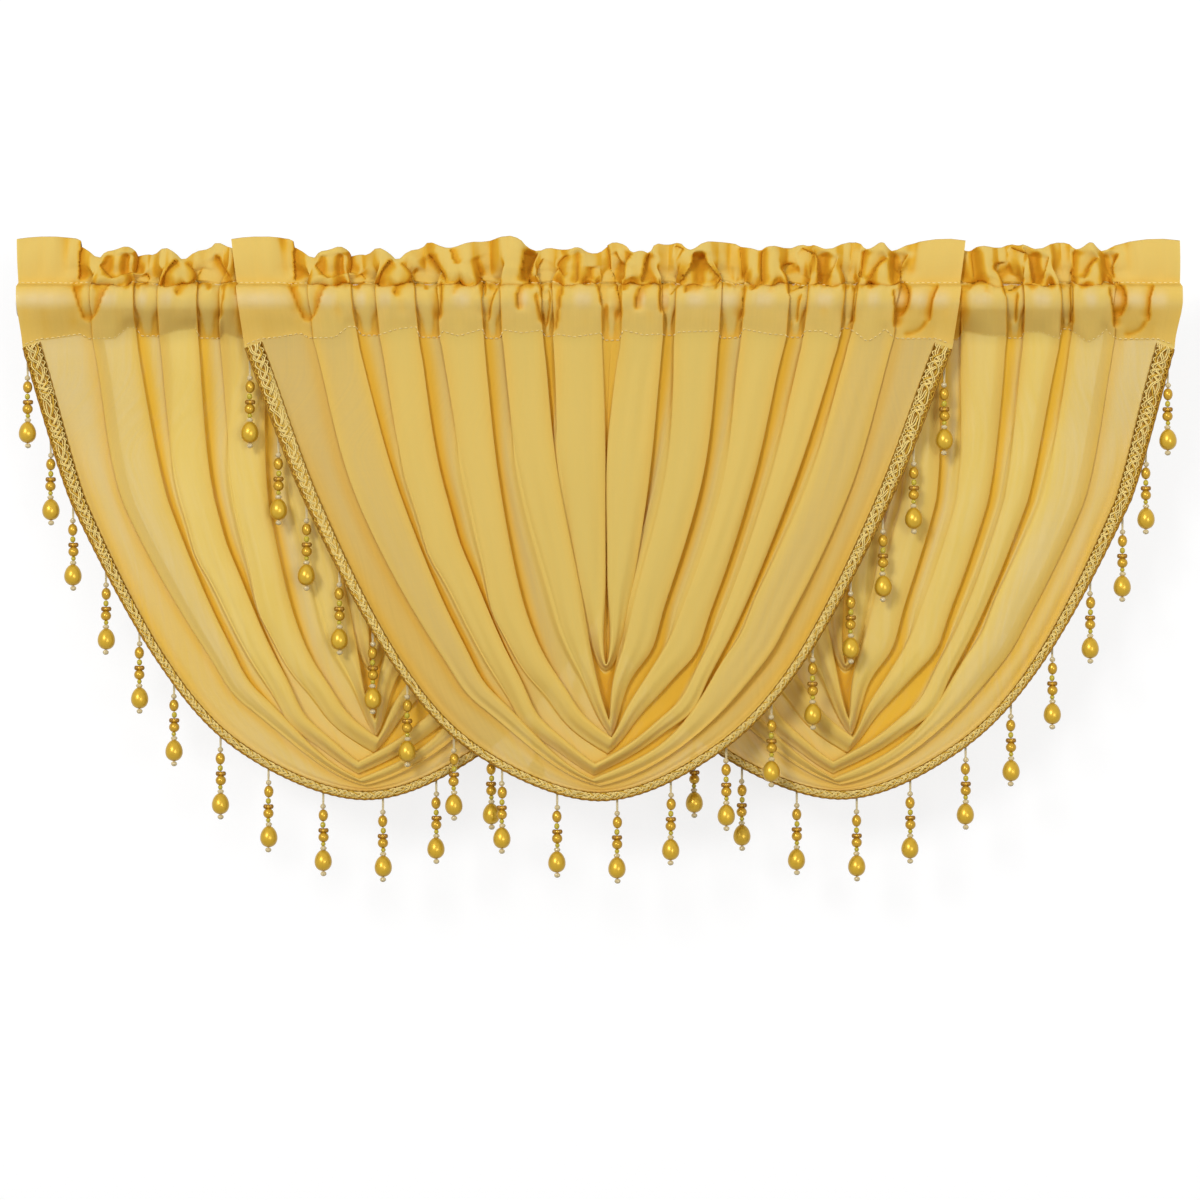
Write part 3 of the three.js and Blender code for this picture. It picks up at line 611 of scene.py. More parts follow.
FOLD_REACH = (24.0, 14.0)     # how far a listed fold works aside and up or down
LEDGE_REACH = (8.0, 3.5)      # how far the cloth lies back behind a step and forward before it
UNDER_REACH, UNDER_MOST = 4.5, 5.5    # how far it is drawn under the step's edge
LOBE_DEPTH = 8.5              # how far the ruffle's lobes stand out
LIP_HEIGHT, LIP_FORWARD, LIP_FALL = 3.6, 9.0, 6.6   # of the lips rolled over the stitches
# The pocket's radius in a gap, on a pleat's face, at the flat ends, at the slit and behind
IN_GAP, ON_FACE, AT_ENDS, AT_SLIT, AT_BACK = 17.4, 24.4, 23.2, 18.0, 20.8
ROD_CLEARS = 16.8             # nothing of the pocket's front lies nearer to the rod's axis
ROD_FRONT = 16.5              # up to this far above and below the axis the rod is behind it
SLIT_FADE = 40                # stretch over which the heading eases towards the slit
BACK_TINT = 0.1


def fold_push(x, z):
    """How far the listed folds push the heading's face back at places x, z, how much painted
    shade each place gets (0 to 1) beside a fold's line and behind its step, and how far it slides
    along x and z, under the edge that overlaps it."""
    push, fold_line_shade, slide_x, slide_z = (np.zeros_like(x) for _ in range(4))
    for points, width, recess, step in HEADING_FOLDS:
        line = np.array(points, float)
        if len(line) > 2:
            line = round_corners(line)
        (low_x, low_z), (high_x, high_z) = line.min(0) - FOLD_REACH, line.max(0) + FOLD_REACH
        near = (x > low_x) & (x < high_x) & (z > low_z) & (z < high_z)
        px, pz = x[near], z[near]
        best = np.full(px.shape, 1e9)
        aside, run, off_x, off_z = (np.zeros(px.shape) for _ in range(4))
        gone = 0.0
        for (ax, az), (bx, bz) in zip(line[:-1], line[1:]):
            length = math.hypot(bx - ax, bz - az)
            ux, uz = (bx - ax) / length, (bz - az) / length
            place = np.clip((px - ax) * ux + (pz - az) * uz, 0, length)
            dx, dz = px - ax - ux * place, pz - az - uz * place
            away = np.hypot(dx, dz)
            closer = away < best
            best = np.where(closer, away, best)
            aside = np.where(closer, np.sign(dx * uz - dz * ux) * away, aside)
            run = np.where(closer, gone + place, run)
            off_x, off_z = np.where(closer, dx, off_x), np.where(closer, dz, off_z)
            gone += length
        fade = smooth(run, 0, 0.2 * gone) * smooth(gone - run, 0, 0.2 * gone)
        side = aside * math.copysign(1, step)
        ledge = np.where(side > 0, np.exp(-(side / LEDGE_REACH[0]) ** 2),
                         -0.35 * np.exp(-(side / LEDGE_REACH[1]) ** 2))
        ledge = ledge * np.clip(np.abs(side) / 0.8, 0, 1)
        thin = np.exp(-(best / (0.7 * width + 0.5)) ** 2)
        pillow = np.exp(-best / (2.6 + width))
        push[near] += fade * (recess * (0.6 * thin + pillow) + 1.5 * abs(step) * ledge)
        # painted shadow behind a step, where the cloth lies back under its edge, and painted shade
        # along the line
        behind = np.exp(-np.maximum(side, 0) / UNDER_REACH) * (side > 0) * min(1, abs(step) / 3.5)
        weight = min(1, max(recess, 0) / 2.6)
        soft = np.exp(-best / (2.5 + width))
        shown = fade * np.maximum(weight * (0.5 * thin + 0.55 * soft), behind)
        fold_line_shade[near] = np.maximum(fold_line_shade[near], shown)
        tuck = np.where(side > 0, np.exp(-(side / UNDER_REACH) ** 2), 0)
        tuck = fade * tuck * min(UNDER_MOST, 1.3 * abs(step))
        slide_x[near] -= tuck * off_x / np.maximum(best, 0.3)
        slide_z[near] -= tuck * off_z / np.maximum(best, 0.3)
    return push, fold_line_shade, slide_x, slide_z


def blurred(field, reach, axis):
    """A field averaged over its neighbours along one axis, near ones counting most."""
    weights = np.hanning(2 * reach + 3)[1:-1]
    weights /= weights.sum()
    pad = [(reach, reach) if axis == other else (0, 0) for other in (0, 1)]
    padded = np.pad(field, pad, mode="edge")
    count = field.shape[axis]
    return sum(weight * np.take(padded, np.arange(shift, shift + count), axis)
               for shift, weight in enumerate(weights))


def heading_fold_shade(front, fold_line_shade):
    """Painted shade over the heading's front: hollows, steep flanks and creases are painted
    deeper in colour where shade lies in them, partly also for the cloth seen behind one another
    there, and the pocket below the rod and round the upper stitches is painted darker."""
    y, z = front[..., 1], front[..., 2]
    hollow = y - blurred(y, 8, 1)
    across = np.gradient(front, axis=1)
    flank = np.abs(across[..., 1]) / np.maximum(np.linalg.norm(across, axis=2), 1e-6)
    tint = 0.75 * smooth(hollow, -0.3, 2.6) + 0.75 * smooth(flank, 0.3, 0.9)
    # painted shade on the pocket below the rod and round the upper stitches
    tint = tint + 0.16 * smooth(-z, 5, 14) + 0.12 * smooth(z, 9, 15) * (1 - smooth(z, 20, 26))
    return np.clip(blurred(tint, 1, 1) + 0.7 * fold_line_shade, 0, 0.88)


def ruffle_gathers(seed, length, local, marks):
    """Where each column's cloth goes in the ruffle, spread evenly from the middle of each face
    to the middle of each gap, and how far it swings out to the front (1) or the back (-1)."""
    anchors = np.flatnonzero(np.abs(marks[:, ANCHOR]) > 0.5)
    anchors = anchors[np.concatenate([[True], np.diff(anchors) > 4])]
    anchors = np.unique(np.concatenate([[0], anchors, [len(local) - 1]]))
    side = np.sign(marks[anchors, ANCHOR])
    side[0] = side[-1] = 0
    strength = np.random.default_rng(seed).uniform(0.5, 1.1, len(anchors))
    swing = np.sin(np.interp(length, length[anchors], side * strength) * np.pi / 2)
    return np.interp(length, length[anchors], local[anchors]), 1 - 2 * ((1 - swing) / 2) ** 1.7


def heading_cloth(valance, foot, local, marks):
    """Points (row, column, xyz) from the seam up over the pocket's front and the ruffle, and
    down again at the back, how much painted shade their colour gets and which columns hold the
    rod."""
    seed = valance["seed"]
    x0, y0, z0 = foot.T
    forward, gap = marks[:, FORWARD], marks[:, GAP]
    held = (x0 >= valance["rod_from"]) & (x0 <= valance["rod_to"])
    to_slit = np.full(len(x0), np.inf)
    if valance["rod_from"] > 0:
        to_slit = x0 - valance["rod_from"]
    if valance["rod_to"] < ROD_LENGTH:
        to_slit = valance["rod_to"] - x0
    slit = np.where(held, 1 - smooth(to_slit, 0, SLIT_FADE), 0)
    length = run_length(foot[:, :2])
    spread, swing = ruffle_gathers(seed, length, local, marks)
    ends = smooth(np.abs(local), *FLAT_ENDS)
    gathered, shut = 1 - ends, 1 - slit

    def along_heading(shift, reach):
        return ripple(seed + shift, local, 0 * local, reach, 1)

    empty = between(valance["empty_y"], x0)
    wave = 3.4 * (forward * 2 - 1) * shut * gathered
    middle = np.where(held, 9 * slit, empty)
    half = LAYER_SPACE / 2
    stitch = STITCH_HEIGHT + 1.5 * slit + 1.1 * along_heading(9, 34) * gathered
    tops = round_corners(np.array(RUFFLE_TOPS, float))
    top = np.interp(spread * (1 + HEADING_FLARE), tops[:, 0], tops[:, 1])
    hidden = np.where(held, 0, smooth(np.minimum(np.abs(x0 - valance["rod_from"]),
                                                 np.abs(x0 - valance["rod_to"])), 2, 14))
    top = mix(top, mix(stitch, top, 0.4), hidden)

    # pocket: round over the rod, with a tongue of cloth swelling out of every gap
    z = mix(z0, stitch, np.linspace(0, 1, POCKET_ROWS)[:, None])
    tongue = np.clip(1 - (gap / mix(0.35, 1.0, smooth(z, -36, 2))) ** 2, 0, 1) ** 0.5
    tongue = np.where(np.abs(gap) <= 1, tongue, 0) * smooth(z, -38, -26)
    near_side = forward * np.clip(2 * (1 - blurred(forward[None], 6, 1)[0]), 0, 1)
    radius = mix(IN_GAP + 3.6 * tongue, ON_FACE - 3.0 * near_side, forward)
    radius = mix(radius, AT_ENDS, ends)
    radius = radius + 0.6 * ripple(seed + 6, local, z, 24, 60) * (1 - ends * 0.5)
    radius = mix(radius, AT_SLIT, 1 - smooth(to_slit, 2, 16))
    rim = smooth(z, 4, 17) * smooth(z0 + 40 - z, -60, 0)
    radius = radius + 1.5 * rim * ripple(seed + 7, local, z, 11, 80) * gathered
    round_y = -np.sqrt(np.maximum(radius ** 2 - np.clip(z, -10, ROD_FRONT) ** 2, 6))
    low = np.clip((z - z0) / (-10 - z0), 0, 1)
    y = mix(y0 + (1 - forward) * 3.0 * np.sin(np.pi * low), round_y, low)
    y = mix(y, middle - half - wave, smooth(z, stitch - 6, stitch + 0.1) ** 1.6)
    flat = mix(y0, empty - half - wave * 0.4, smooth(z, -34, -8))
    y = np.where(held, y, flat)
    x = heading_x(valance, local, z0, z)
    # painted shade in the pocket's gaps, strongest low down
    gap_shade = (1 - forward) * gathered * (0.2 + 0.8 * smooth(-z, 2, 30)) * (1 - 0.75 * tongue)

    # ruffle: lobes that swing to front and back, with lips rolled over the stitches
    rise = np.linspace(0, 1, RUFFLE_ROWS)[1:, None]
    z_up = mix(stitch, top, rise)
    above = (z_up - stitch) / LIP_HEIGHT
    lip = smooth(swing + 0.5 * along_heading(12, 23), -0.1, 0.9)
    lip = lip * gathered * shut * above * np.exp(1 - above)
    place = mix(local, spread, smooth(rise, 0.0, 0.6))
    bulge = LOBE_DEPTH * (np.sin(np.pi * (0.1 + 0.85 * rise)) - math.sin(0.1 * np.pi))
    bulge = bulge * mix(1, 0.45, ends) * (1 - 0.6 * slit)
    lobes = LOBE_DEPTH * swing * smooth(rise, 0, 0.35) * gathered * shut
    small = 0.8 * ripple(seed + 8, length, z_up, 26, 40) * smooth(rise, 0, 0.2) * (1 - 0.6 * ends)
    y_up = middle - half * (1 - rise) - bulge - lobes + small - wave * (1 - smooth(rise, 0, 0.5))
    x_up = heading_x(valance, place, z0, z_up)
    y_up, z_up = y_up - LIP_FORWARD * lip, z_up - LIP_FALL * lip

    # listed folds, kept off the rod and in front of the ruffle's back
    front = np.stack([np.vstack([x, x_up]), np.vstack([y, y_up]), np.vstack([z, z_up])], 2)
    own = own_x(valance, front[..., 0], front[..., 2])
    push, fold_line_shade, slide_x, slide_z = fold_push(own, front[..., 2])
    moved = np.stack([slide_x, push, slide_z], 2) * np.where(held, 1 - 0.7 * slit, 0.6)[:, None]
    moved[0] = 0
    front += moved
    above = front[POCKET_ROWS:, :, 2] - stitch
    farthest = middle - half + 0.5 * np.maximum(above, 0)
    front[POCKET_ROWS:, :, 1] = np.minimum(front[POCKET_ROWS:, :, 1], farthest)
    clear_rod = -np.sqrt(np.maximum(ROD_CLEARS ** 2 - front[..., 2] ** 2, 0))
    inside = held & (np.abs(front[..., 2]) < ROD_FRONT)
    front[..., 1] = np.where(inside, np.minimum(front[..., 1], clear_rod), front[..., 1])
    # painted shade over the heading, with more beside the ribs' sides and in the gaps
    deep = heading_fold_shade(front, fold_line_shade)
    deep[:POCKET_ROWS] = np.maximum(deep[:POCKET_ROWS] + 0.25 * near_side, 0.62 * gap_shade)

    # back: the ruffle's other layer, the stitches and the pocket behind the rod
    ruffle = front[POCKET_ROWS - 1:]
    rows = [ruffle[-1] + (0, 0.9, 0.6)]

    def add(x, y, z):
        rows.append(np.stack([x, y, z + 0 * x], 1))

    for down in (4, 11, 18, 25):
        depth = ruffle[-min(down + 7, len(ruffle)):-max(down - 7, 1), :, 1].max(0)
        depth = np.max([np.roll(depth, aside) for aside in (-3, -1, 0, 1, 3)], 0)
        add(ruffle[-down, :, 0], depth + LAYER_SPACE, ruffle[-down, :, 2])
    add(heading_x(valance, local, z0, stitch), middle + half - wave * 0.8, stitch)
    back_radius = AT_BACK + 5 * slit
    for turn in np.radians((42, 60, 78, 95, 112)):
        z = back_radius * math.cos(turn)
        y = np.where(held, back_radius * math.sin(turn), middle + half - wave * 0.5)
        add(heading_x(valance, local, z0, z), y, z)
    z = mix(z, z0, 0.5)
    add(heading_x(valance, local, z0, z), mix(y, y0 + LAYER_SPACE, 0.35), z)
    add(x0, y0 + LAYER_SPACE, z0)
    cloth = np.concatenate([front, np.array(rows)])
    tint = np.concatenate([deep, np.full((len(rows), len(x0)), BACK_TINT)])
    for edge in np.flatnonzero(held[1:] != held[:-1]):
        column, side = (edge, -1) if held[edge] else (edge + 1, 1)
        if 5 < column < len(x0) - 6:
            cut = slice(1, POCKET_ROWS - 1)
            cloth[cut, column, 0] = slit_x(side, cloth[cut, column, 2])
    return cloth, tint, held


def placed(name, data):
    """A new object in the scene."""
    piece = bpy.data.objects.new(name, data)
    bpy.context.scene.collection.objects.link(piece)
    return piece


def grid_quads(ids):
    """Four-cornered faces between the rows and columns of a grid of point numbers."""
    return np.stack([ids[:-1, :-1], ids[1:, :-1], ids[1:, 1:], ids[:-1, 1:]], 2)


def sheet_mesh(name, points, quads, uvs, tints):
    """A smooth mesh from points in millimetres, four-cornered faces, a place on the cut and
    three tints: painted shade in folds and creases, partly the deeper colour of cloth lying
    double, where the cloth is a single layer, and where it is stretched over the rod, which also
    carries a painted highlight of the rod shining through and a painted paling of the pocket."""
    mesh = bpy.data.meshes.new(name)
    mesh.vertices.add(len(points))
    mesh.vertices.foreach_set("co", (np.asarray(points) * MM).astype(np.float32).ravel())
    mesh.loops.add(quads.size)
    mesh.loops.foreach_set("vertex_index", quads.astype(np.int32).ravel())
    mesh.polygons.add(len(quads))
    mesh.polygons.foreach_set("loop_start", np.arange(0, quads.size, 4, dtype=np.int32))
    mesh.polygons.foreach_set("loop_total", np.full(len(quads), 4, np.int32))
    mesh.polygons.foreach_set("use_smooth", np.ones(len(quads), bool))
    mesh.update(calc_edges=True)
    layer = mesh.uv_layers.new(name="Cut")
    layer.data.foreach_set("uv", (uvs[quads.ravel()] * MM).astype(np.float32).ravel())
    for label, values in zip(("Deep", "Single", "Taut"), tints.T):
        mesh.attributes.new(label, "FLOAT", "POINT").data.foreach_set(
            "value", np.clip(values, 0, 1).astype(np.float32))
    mesh.validate()
    return placed(name, mesh)


HEADING_CUT = 2000.0    # the heading's place on the cut, clear of the swag's


def panel_cloth(valance):
    """All points, faces, cut places and tints of one panel, and the rows that the stitches
    follow."""
    points, lines, marks, tints = swag_cloth(valance)
    count, stations = points.shape[:2]
    ids = np.arange(count * stations).reshape(count, stations)
    ids[0, stations // 2 + 1:] = ids[0, :stations // 2][::-1]     # both sides share the slit

    # place on the cut: across from the slit, along from the left seam
    across = np.zeros((count, stations))
    across[1:] = np.cumsum(np.linalg.norm(np.diff(lines, axis=0), axis=2), axis=0)
    run = np.zeros((count, stations))
    run[:, 1:] = np.cumsum(np.linalg.norm(np.diff(lines, axis=1), axis=2), axis=1)
    run = np.broadcast_to(run.mean(0), run.shape)
    quads = grid_quads(ids).reshape(-1, 4)
    flat_points = points.reshape(-1, 3)

    # heading: columns from the left end to the right end
    columns = np.concatenate([ids[1:, 0][::-1], ids[:, -1]])
    columns[count - 1] = ids[0, 0]
    foot = flat_points[columns]
    marks_row = np.concatenate([marks[1:][::-1], marks])
    marks_row[:count - 1, GAP] *= -1
    local = own_x(valance, foot[:, 0], foot[:, 2])
    rows, deep, held = heading_cloth(valance, foot, local, marks_row)
    front_rows = POCKET_ROWS - 1
    rows[0] = foot
    upper = len(rows) - 1
    start = len(flat_points)
    head_ids = np.vstack([columns, start + np.arange(upper * len(columns)).reshape(upper, -1)])
    rise = run_length(rows[:, len(columns) // 4])[1:]
    grid_u, grid_v = np.meshgrid(run_length(foot[:, :2]) + HEADING_CUT, rise + HEADING_CUT)
    head = np.stack([head_ids[:-1, :-1], head_ids[:-1, 1:], head_ids[1:, 1:], head_ids[1:, :-1]],
                    2)
    cut = (np.arange(upper) < front_rows)[:, None] & (held[1:] != held[:-1])[None, :]
    quads = np.concatenate([quads, head[~cut].reshape(-1, 4)])
    all_points = np.concatenate([flat_points, rows[1:].reshape(-1, 3)])
    uvs = np.concatenate([np.stack([across, run], 2).reshape(-1, 2),
                          np.stack([grid_u, grid_v], 2).reshape(-1, 2)])
    z = rows[1:, :, 2]
    own = own_x(valance, rows[1:, :, 0], z)
    # taut tint: a weak painted paling of the pocket round and below the rod as if lit, and in each
    # patch a painted highlight of the rod shining through the stretched cloth, where the weave
    # also opens
    taut_and_glint = np.maximum(0.16 * smooth(16 - np.abs(z + 12), 0, 10), 0.13 * smooth(-z, 14, 26))
    on_rod = 1.1 * np.exp(-((z + 0.5) / 8) ** 2)
    for centre, reach in TAUT_GLINT_PATCHES:
        taut_and_glint = np.maximum(taut_and_glint, np.exp(-(np.abs(own - centre) / reach) ** 3) * on_rod)
    taut_and_glint *= held * (np.arange(1, upper + 1) < front_rows)[:, None] * (1 - deep[1:])
    head_tints = np.stack([deep[1:], np.zeros_like(own), taut_and_glint], 2).reshape(-1, 3)
    swag_tints = np.concatenate([tints, np.zeros(tints.shape[:2] + (1,))], 2).reshape(-1, 3)
    all_tints = np.concatenate([swag_tints, head_tints])

    # the lower row of stitches strays
    own = own_x(valance, all_points[:, 0], all_points[:, 2])
    by_seam = np.exp(-((all_points[:, 2] - seam_height(own)) / 14) ** 2)
    all_points[:, 2] += between(SEAM_SWAY, own) * by_seam

    used = np.zeros(len(all_points), bool)
    used[quads.ravel()] = True
    new_index = np.cumsum(used) - 1
    stitch_rows = {"seam": all_points[columns], "upper": all_points[head_ids[front_rows]]}
    return all_points[used], new_index[quads], uvs[used], all_tints[used], stitch_rows


# ---------------------------------------------------------------- tubes, strips and turned beads

def closed(ring, first, last):
    """Points and faces of a skin over rings of points (ring, side, xyz) with a fan of faces to
    a point at each end."""
    count, sides = ring.shape[:2]
    ids = np.arange(count * sides).reshape(count, sides)
    nxt = np.roll(ids, -1, axis=1)
    quads = np.stack([ids[:-1], nxt[:-1], nxt[1:], ids[1:]], 2).reshape(-1, 4)
    points = np.concatenate([ring.reshape(-1, 3), [first], [last]])
    low, high = count * sides, count * sides + 1
    caps = [(low, nxt[0, i], ids[0, i]) for i in range(sides)]
    caps += [(high, ids[-1, i], nxt[-1, i]) for i in range(sides)]
    return points, quads, np.array(caps)


def tube(path, radius_a, radius_b=None, sides=6, out=(0, -1, 0)):
    """Points and faces of a tube along a path; radius_a lies across, radius_b along out."""
    path = np.asarray(path, float)
    radius_b = radius_a if radius_b is None else radius_b
    tangent = np.gradient(path, axis=0)
    tangent /= np.maximum(np.linalg.norm(tangent, axis=1, keepdims=True), 1e-9)
    first = np.cross(tangent, np.asarray(out, float))
    first /= np.maximum(np.linalg.norm(first, axis=1, keepdims=True), 1e-9)
    second = np.cross(first, tangent)
    angle = np.linspace(0, 2 * np.pi, sides, endpoint=False)
    ra = np.broadcast_to(radius_a, len(path))[:, None, None]
    rb = np.broadcast_to(radius_b, len(path))[:, None, None]
    ring = (path[:, None] + first[:, None] * np.cos(angle)[None, :, None] * ra
            + second[:, None] * np.sin(angle)[None, :, None] * rb)
    return closed(ring, path[0], path[-1])


def turned(profile, sides):
    """Points and faces of a form turned about its upright axis, from rows of (radius, height)."""
    profile = np.asarray(profile, float)
    angle = np.linspace(0, 2 * np.pi, sides, endpoint=False)
    body = profile[1:-1]
    ring = np.stack([body[:, None, 0] * np.cos(angle), body[:, None, 0] * np.sin(angle),
                     np.broadcast_to(body[:, None, 1], (len(body), sides))], 2)
    return closed(ring, (0, 0, profile[0, 1]), (0, 0, profile[-1, 1]))


class Gather:
    """Collects tubes and beads of several materials into one mesh."""

    def __init__(self):
        self.points, self.faces, self.slots, self.count = [], [], [], 0

    def add(self, shape, slot, place=(0, 0, 0)):
        points, quads, triangles = shape
        self.points.append(points + np.asarray(place, float))
        for group in (quads, triangles):
            self.faces.extend((group + self.count).tolist())
            self.slots.extend([slot] * len(group))
        self.count += len(points)

    def piece(self, name, materials):
        mesh = bpy.data.meshes.new(name)
        mesh.from_pydata((np.concatenate(self.points) * MM).tolist(), [], self.faces)
        mesh.polygons.foreach_set("material_index", np.array(self.slots, np.int32))
        mesh.polygons.foreach_set("use_smooth", np.ones(len(self.faces), bool))
        for material in materials:
            mesh.materials.append(material)
        mesh.update()
        return placed(name, mesh)


# ---------------------------------------------------------------- materials

def fill(tree, node, values):
    """Sets a node's sockets, or links them where the value is another node's socket."""
    for label, value in values.items():
        if isinstance(value, bpy.types.NodeSocket):
            tree.links.new(value, node.inputs[label])
        else:
            node.inputs[label].default_value = value
    return node


def new_node(tree, kind, values):
    return fill(tree, tree.nodes.new(f"ShaderNode{kind}"), values)


def math_node(tree, operation, first, second, clamp=False):
    node = new_node(tree, "Math", {0: first, 1: second})
    node.operation = operation
    node.use_clamp = clamp
    return node.outputs[0]


def scaled(tree, value, factor, plus, clamp=False):
    """A value times a factor, plus another value."""
    return math_node(tree, "ADD", math_node(tree, "MULTIPLY", value, factor), plus, clamp)


def noise_node(tree, vector, scale, detail=2.0, rough=0.5):
    return new_node(tree, "TexNoise", {"Scale": scale, "Detail": detail, "Roughness": rough,
                                       "Vector": vector}).outputs["Fac"]


def stretched(tree, vector, scale):
    node = new_node(tree, "VectorMath", {0: vector, 1: scale})
    node.operation = "MULTIPLY"
    return node.outputs[0]


def rgba(colour):
    return colour if isinstance(colour, bpy.types.NodeSocket) else (*tuple(colour)[:3], 1)


def darker(colour, share):
    return tuple(channel * share for channel in colour)


def mix_colours(tree, factor, first, second):
    node = tree.nodes.new("ShaderNodeMix")
    node.data_type = "RGBA"
    return fill(tree, node, {0: factor, 6: rgba(first), 7: rgba(second)}).outputs[2]


def mix_shaders(tree, factor, first, second):
    values = {0: factor, 1: first.outputs[0], 2: second.outputs[0]}
    return new_node(tree, "MixShader", values)


def bump(tree, height, strength, distance):
    values = {"Strength": strength, "Distance": distance, "Height": height}
    return new_node(tree, "Bump", values).outputs["Normal"]


def place_node(tree):
    return tree.nodes.new("ShaderNodeNewGeometry").outputs["Position"]


def seen_directly(tree):
    """1 for rays from the eye, off shine and through glass, 0 for those that only light."""
    path = tree.nodes.new("ShaderNodeLightPath").outputs
    seen = math_node(tree, "MAXIMUM", path["Is Camera Ray"], path["Is Glossy Ray"])
    return math_node(tree, "MAXIMUM", seen, path["Is Transmission Ray"])


def new_group(name, inputs, outputs):
    group = bpy.data.node_groups.new(name, "ShaderNodeTree")
    for label, kind, default in inputs:
        socket = group.interface.new_socket(label, in_out="INPUT",
                                            socket_type=f"NodeSocket{kind}")
        socket.default_value = default
    for label, kind in outputs:
        group.interface.new_socket(label, in_out="OUTPUT", socket_type=f"NodeSocket{kind}")
    return group, group.nodes.new("NodeGroupInput").outputs, group.nodes.new("NodeGroupOutput")


def woven_group():
    """Plain weave with slubs: uneven threads along and across the cut."""
    group, given, out = new_group(
        "WovenCloth",
        [("Vector", "Vector", (0, 0, 0)), ("Colour", "Color", (0.8, 0.6, 0.2, 1)),
         ("Deep Colour", "Color", (0.7, 0.45, 0.1, 1)), ("Cover", "Float", 0.8),
         ("Unevenness", "Float", 0.5)],
        [("Colour", "Color"), ("Cover", "Float"), ("Height", "Float")])
    vector = given["Vector"]
    along = noise_node(group, stretched(group, vector, (260, 9, 1)), 1.0, 3.0, 0.6)
    across = noise_node(group, stretched(group, vector, (14, 420, 1)), 1.0, 2.0, 0.55)
    slubs = scaled(group, along, 0.78, math_node(group, "MULTIPLY", across, 0.22))
    patches = noise_node(group, vector, 16.0, 3.0, 0.55)
    threads = new_node(group, "TexWave", {"Scale": 520, "Distortion": 1.2, "Vector": vector})
    tone = scaled(group, slubs, 0.7, math_node(group, "MULTIPLY", patches, 0.3))
    tone = math_node(group, "MULTIPLY", math_node(group, "SUBTRACT", tone, 0.5),
                     given["Unevenness"])
    factor = scaled(group, tone, 2.4, 0.45, clamp=True)
    fill(group, out, {
        "Colour": mix_colours(group, factor, given["Colour"], given["Deep Colour"]),
        "Cover": scaled(group, tone, 0.5, given["Cover"], clamp=True),
        "Height": scaled(group, threads.outputs["Fac"], 0.15, slubs)})


def thread_group():
    """Spun thread: fine twist and uneven shine."""
    group, given, out = new_group(
        "SpunThread",
        [("Colour", "Color", (0.8, 0.6, 0.2, 1)), ("Deep Colour", "Color", (0.4, 0.2, 0.05, 1)),
         ("Fineness", "Float", 900.0)],
        [("Colour", "Color"), ("Roughness", "Float"), ("Height", "Float")])
    place = place_node(group)
    twist = new_node(group, "TexWave", {"Distortion": 3.0, "Detail": 1.0, "Vector": place,
                                        "Scale": given["Fineness"]})
    twist.bands_direction = "DIAGONAL"
    uneven = noise_node(group, place, 220.0, 2.0, 0.6)
    # painted shade in the twist's grooves, with uneven tone
    shade = scaled(group, twist.outputs["Fac"], 0.55,
                   math_node(group, "MULTIPLY", uneven, 0.45))
    fill(group, out, {
        "Colour": mix_colours(group, shade, given["Deep Colour"], given["Colour"]),
        "Roughness": scaled(group, uneven, 0.3, 0.22), "Height": shade})


def shared(tree, group, values):
    """A node of one of the shared groups."""
    node = tree.nodes.new("ShaderNodeGroup")
    node.node_tree = bpy.data.node_groups[group]
    return fill(tree, node, values).outputs


def blank_material(name):
    material = bpy.data.materials.new(name)
    material.use_nodes = True
    material.node_tree.nodes.clear()
    return material, material.node_tree


def surfaced(material, shader):
    """The material with the shader as its surface."""
    new_node(material.node_tree, "OutputMaterial", {"Surface": shader.outputs[0]})
    return material


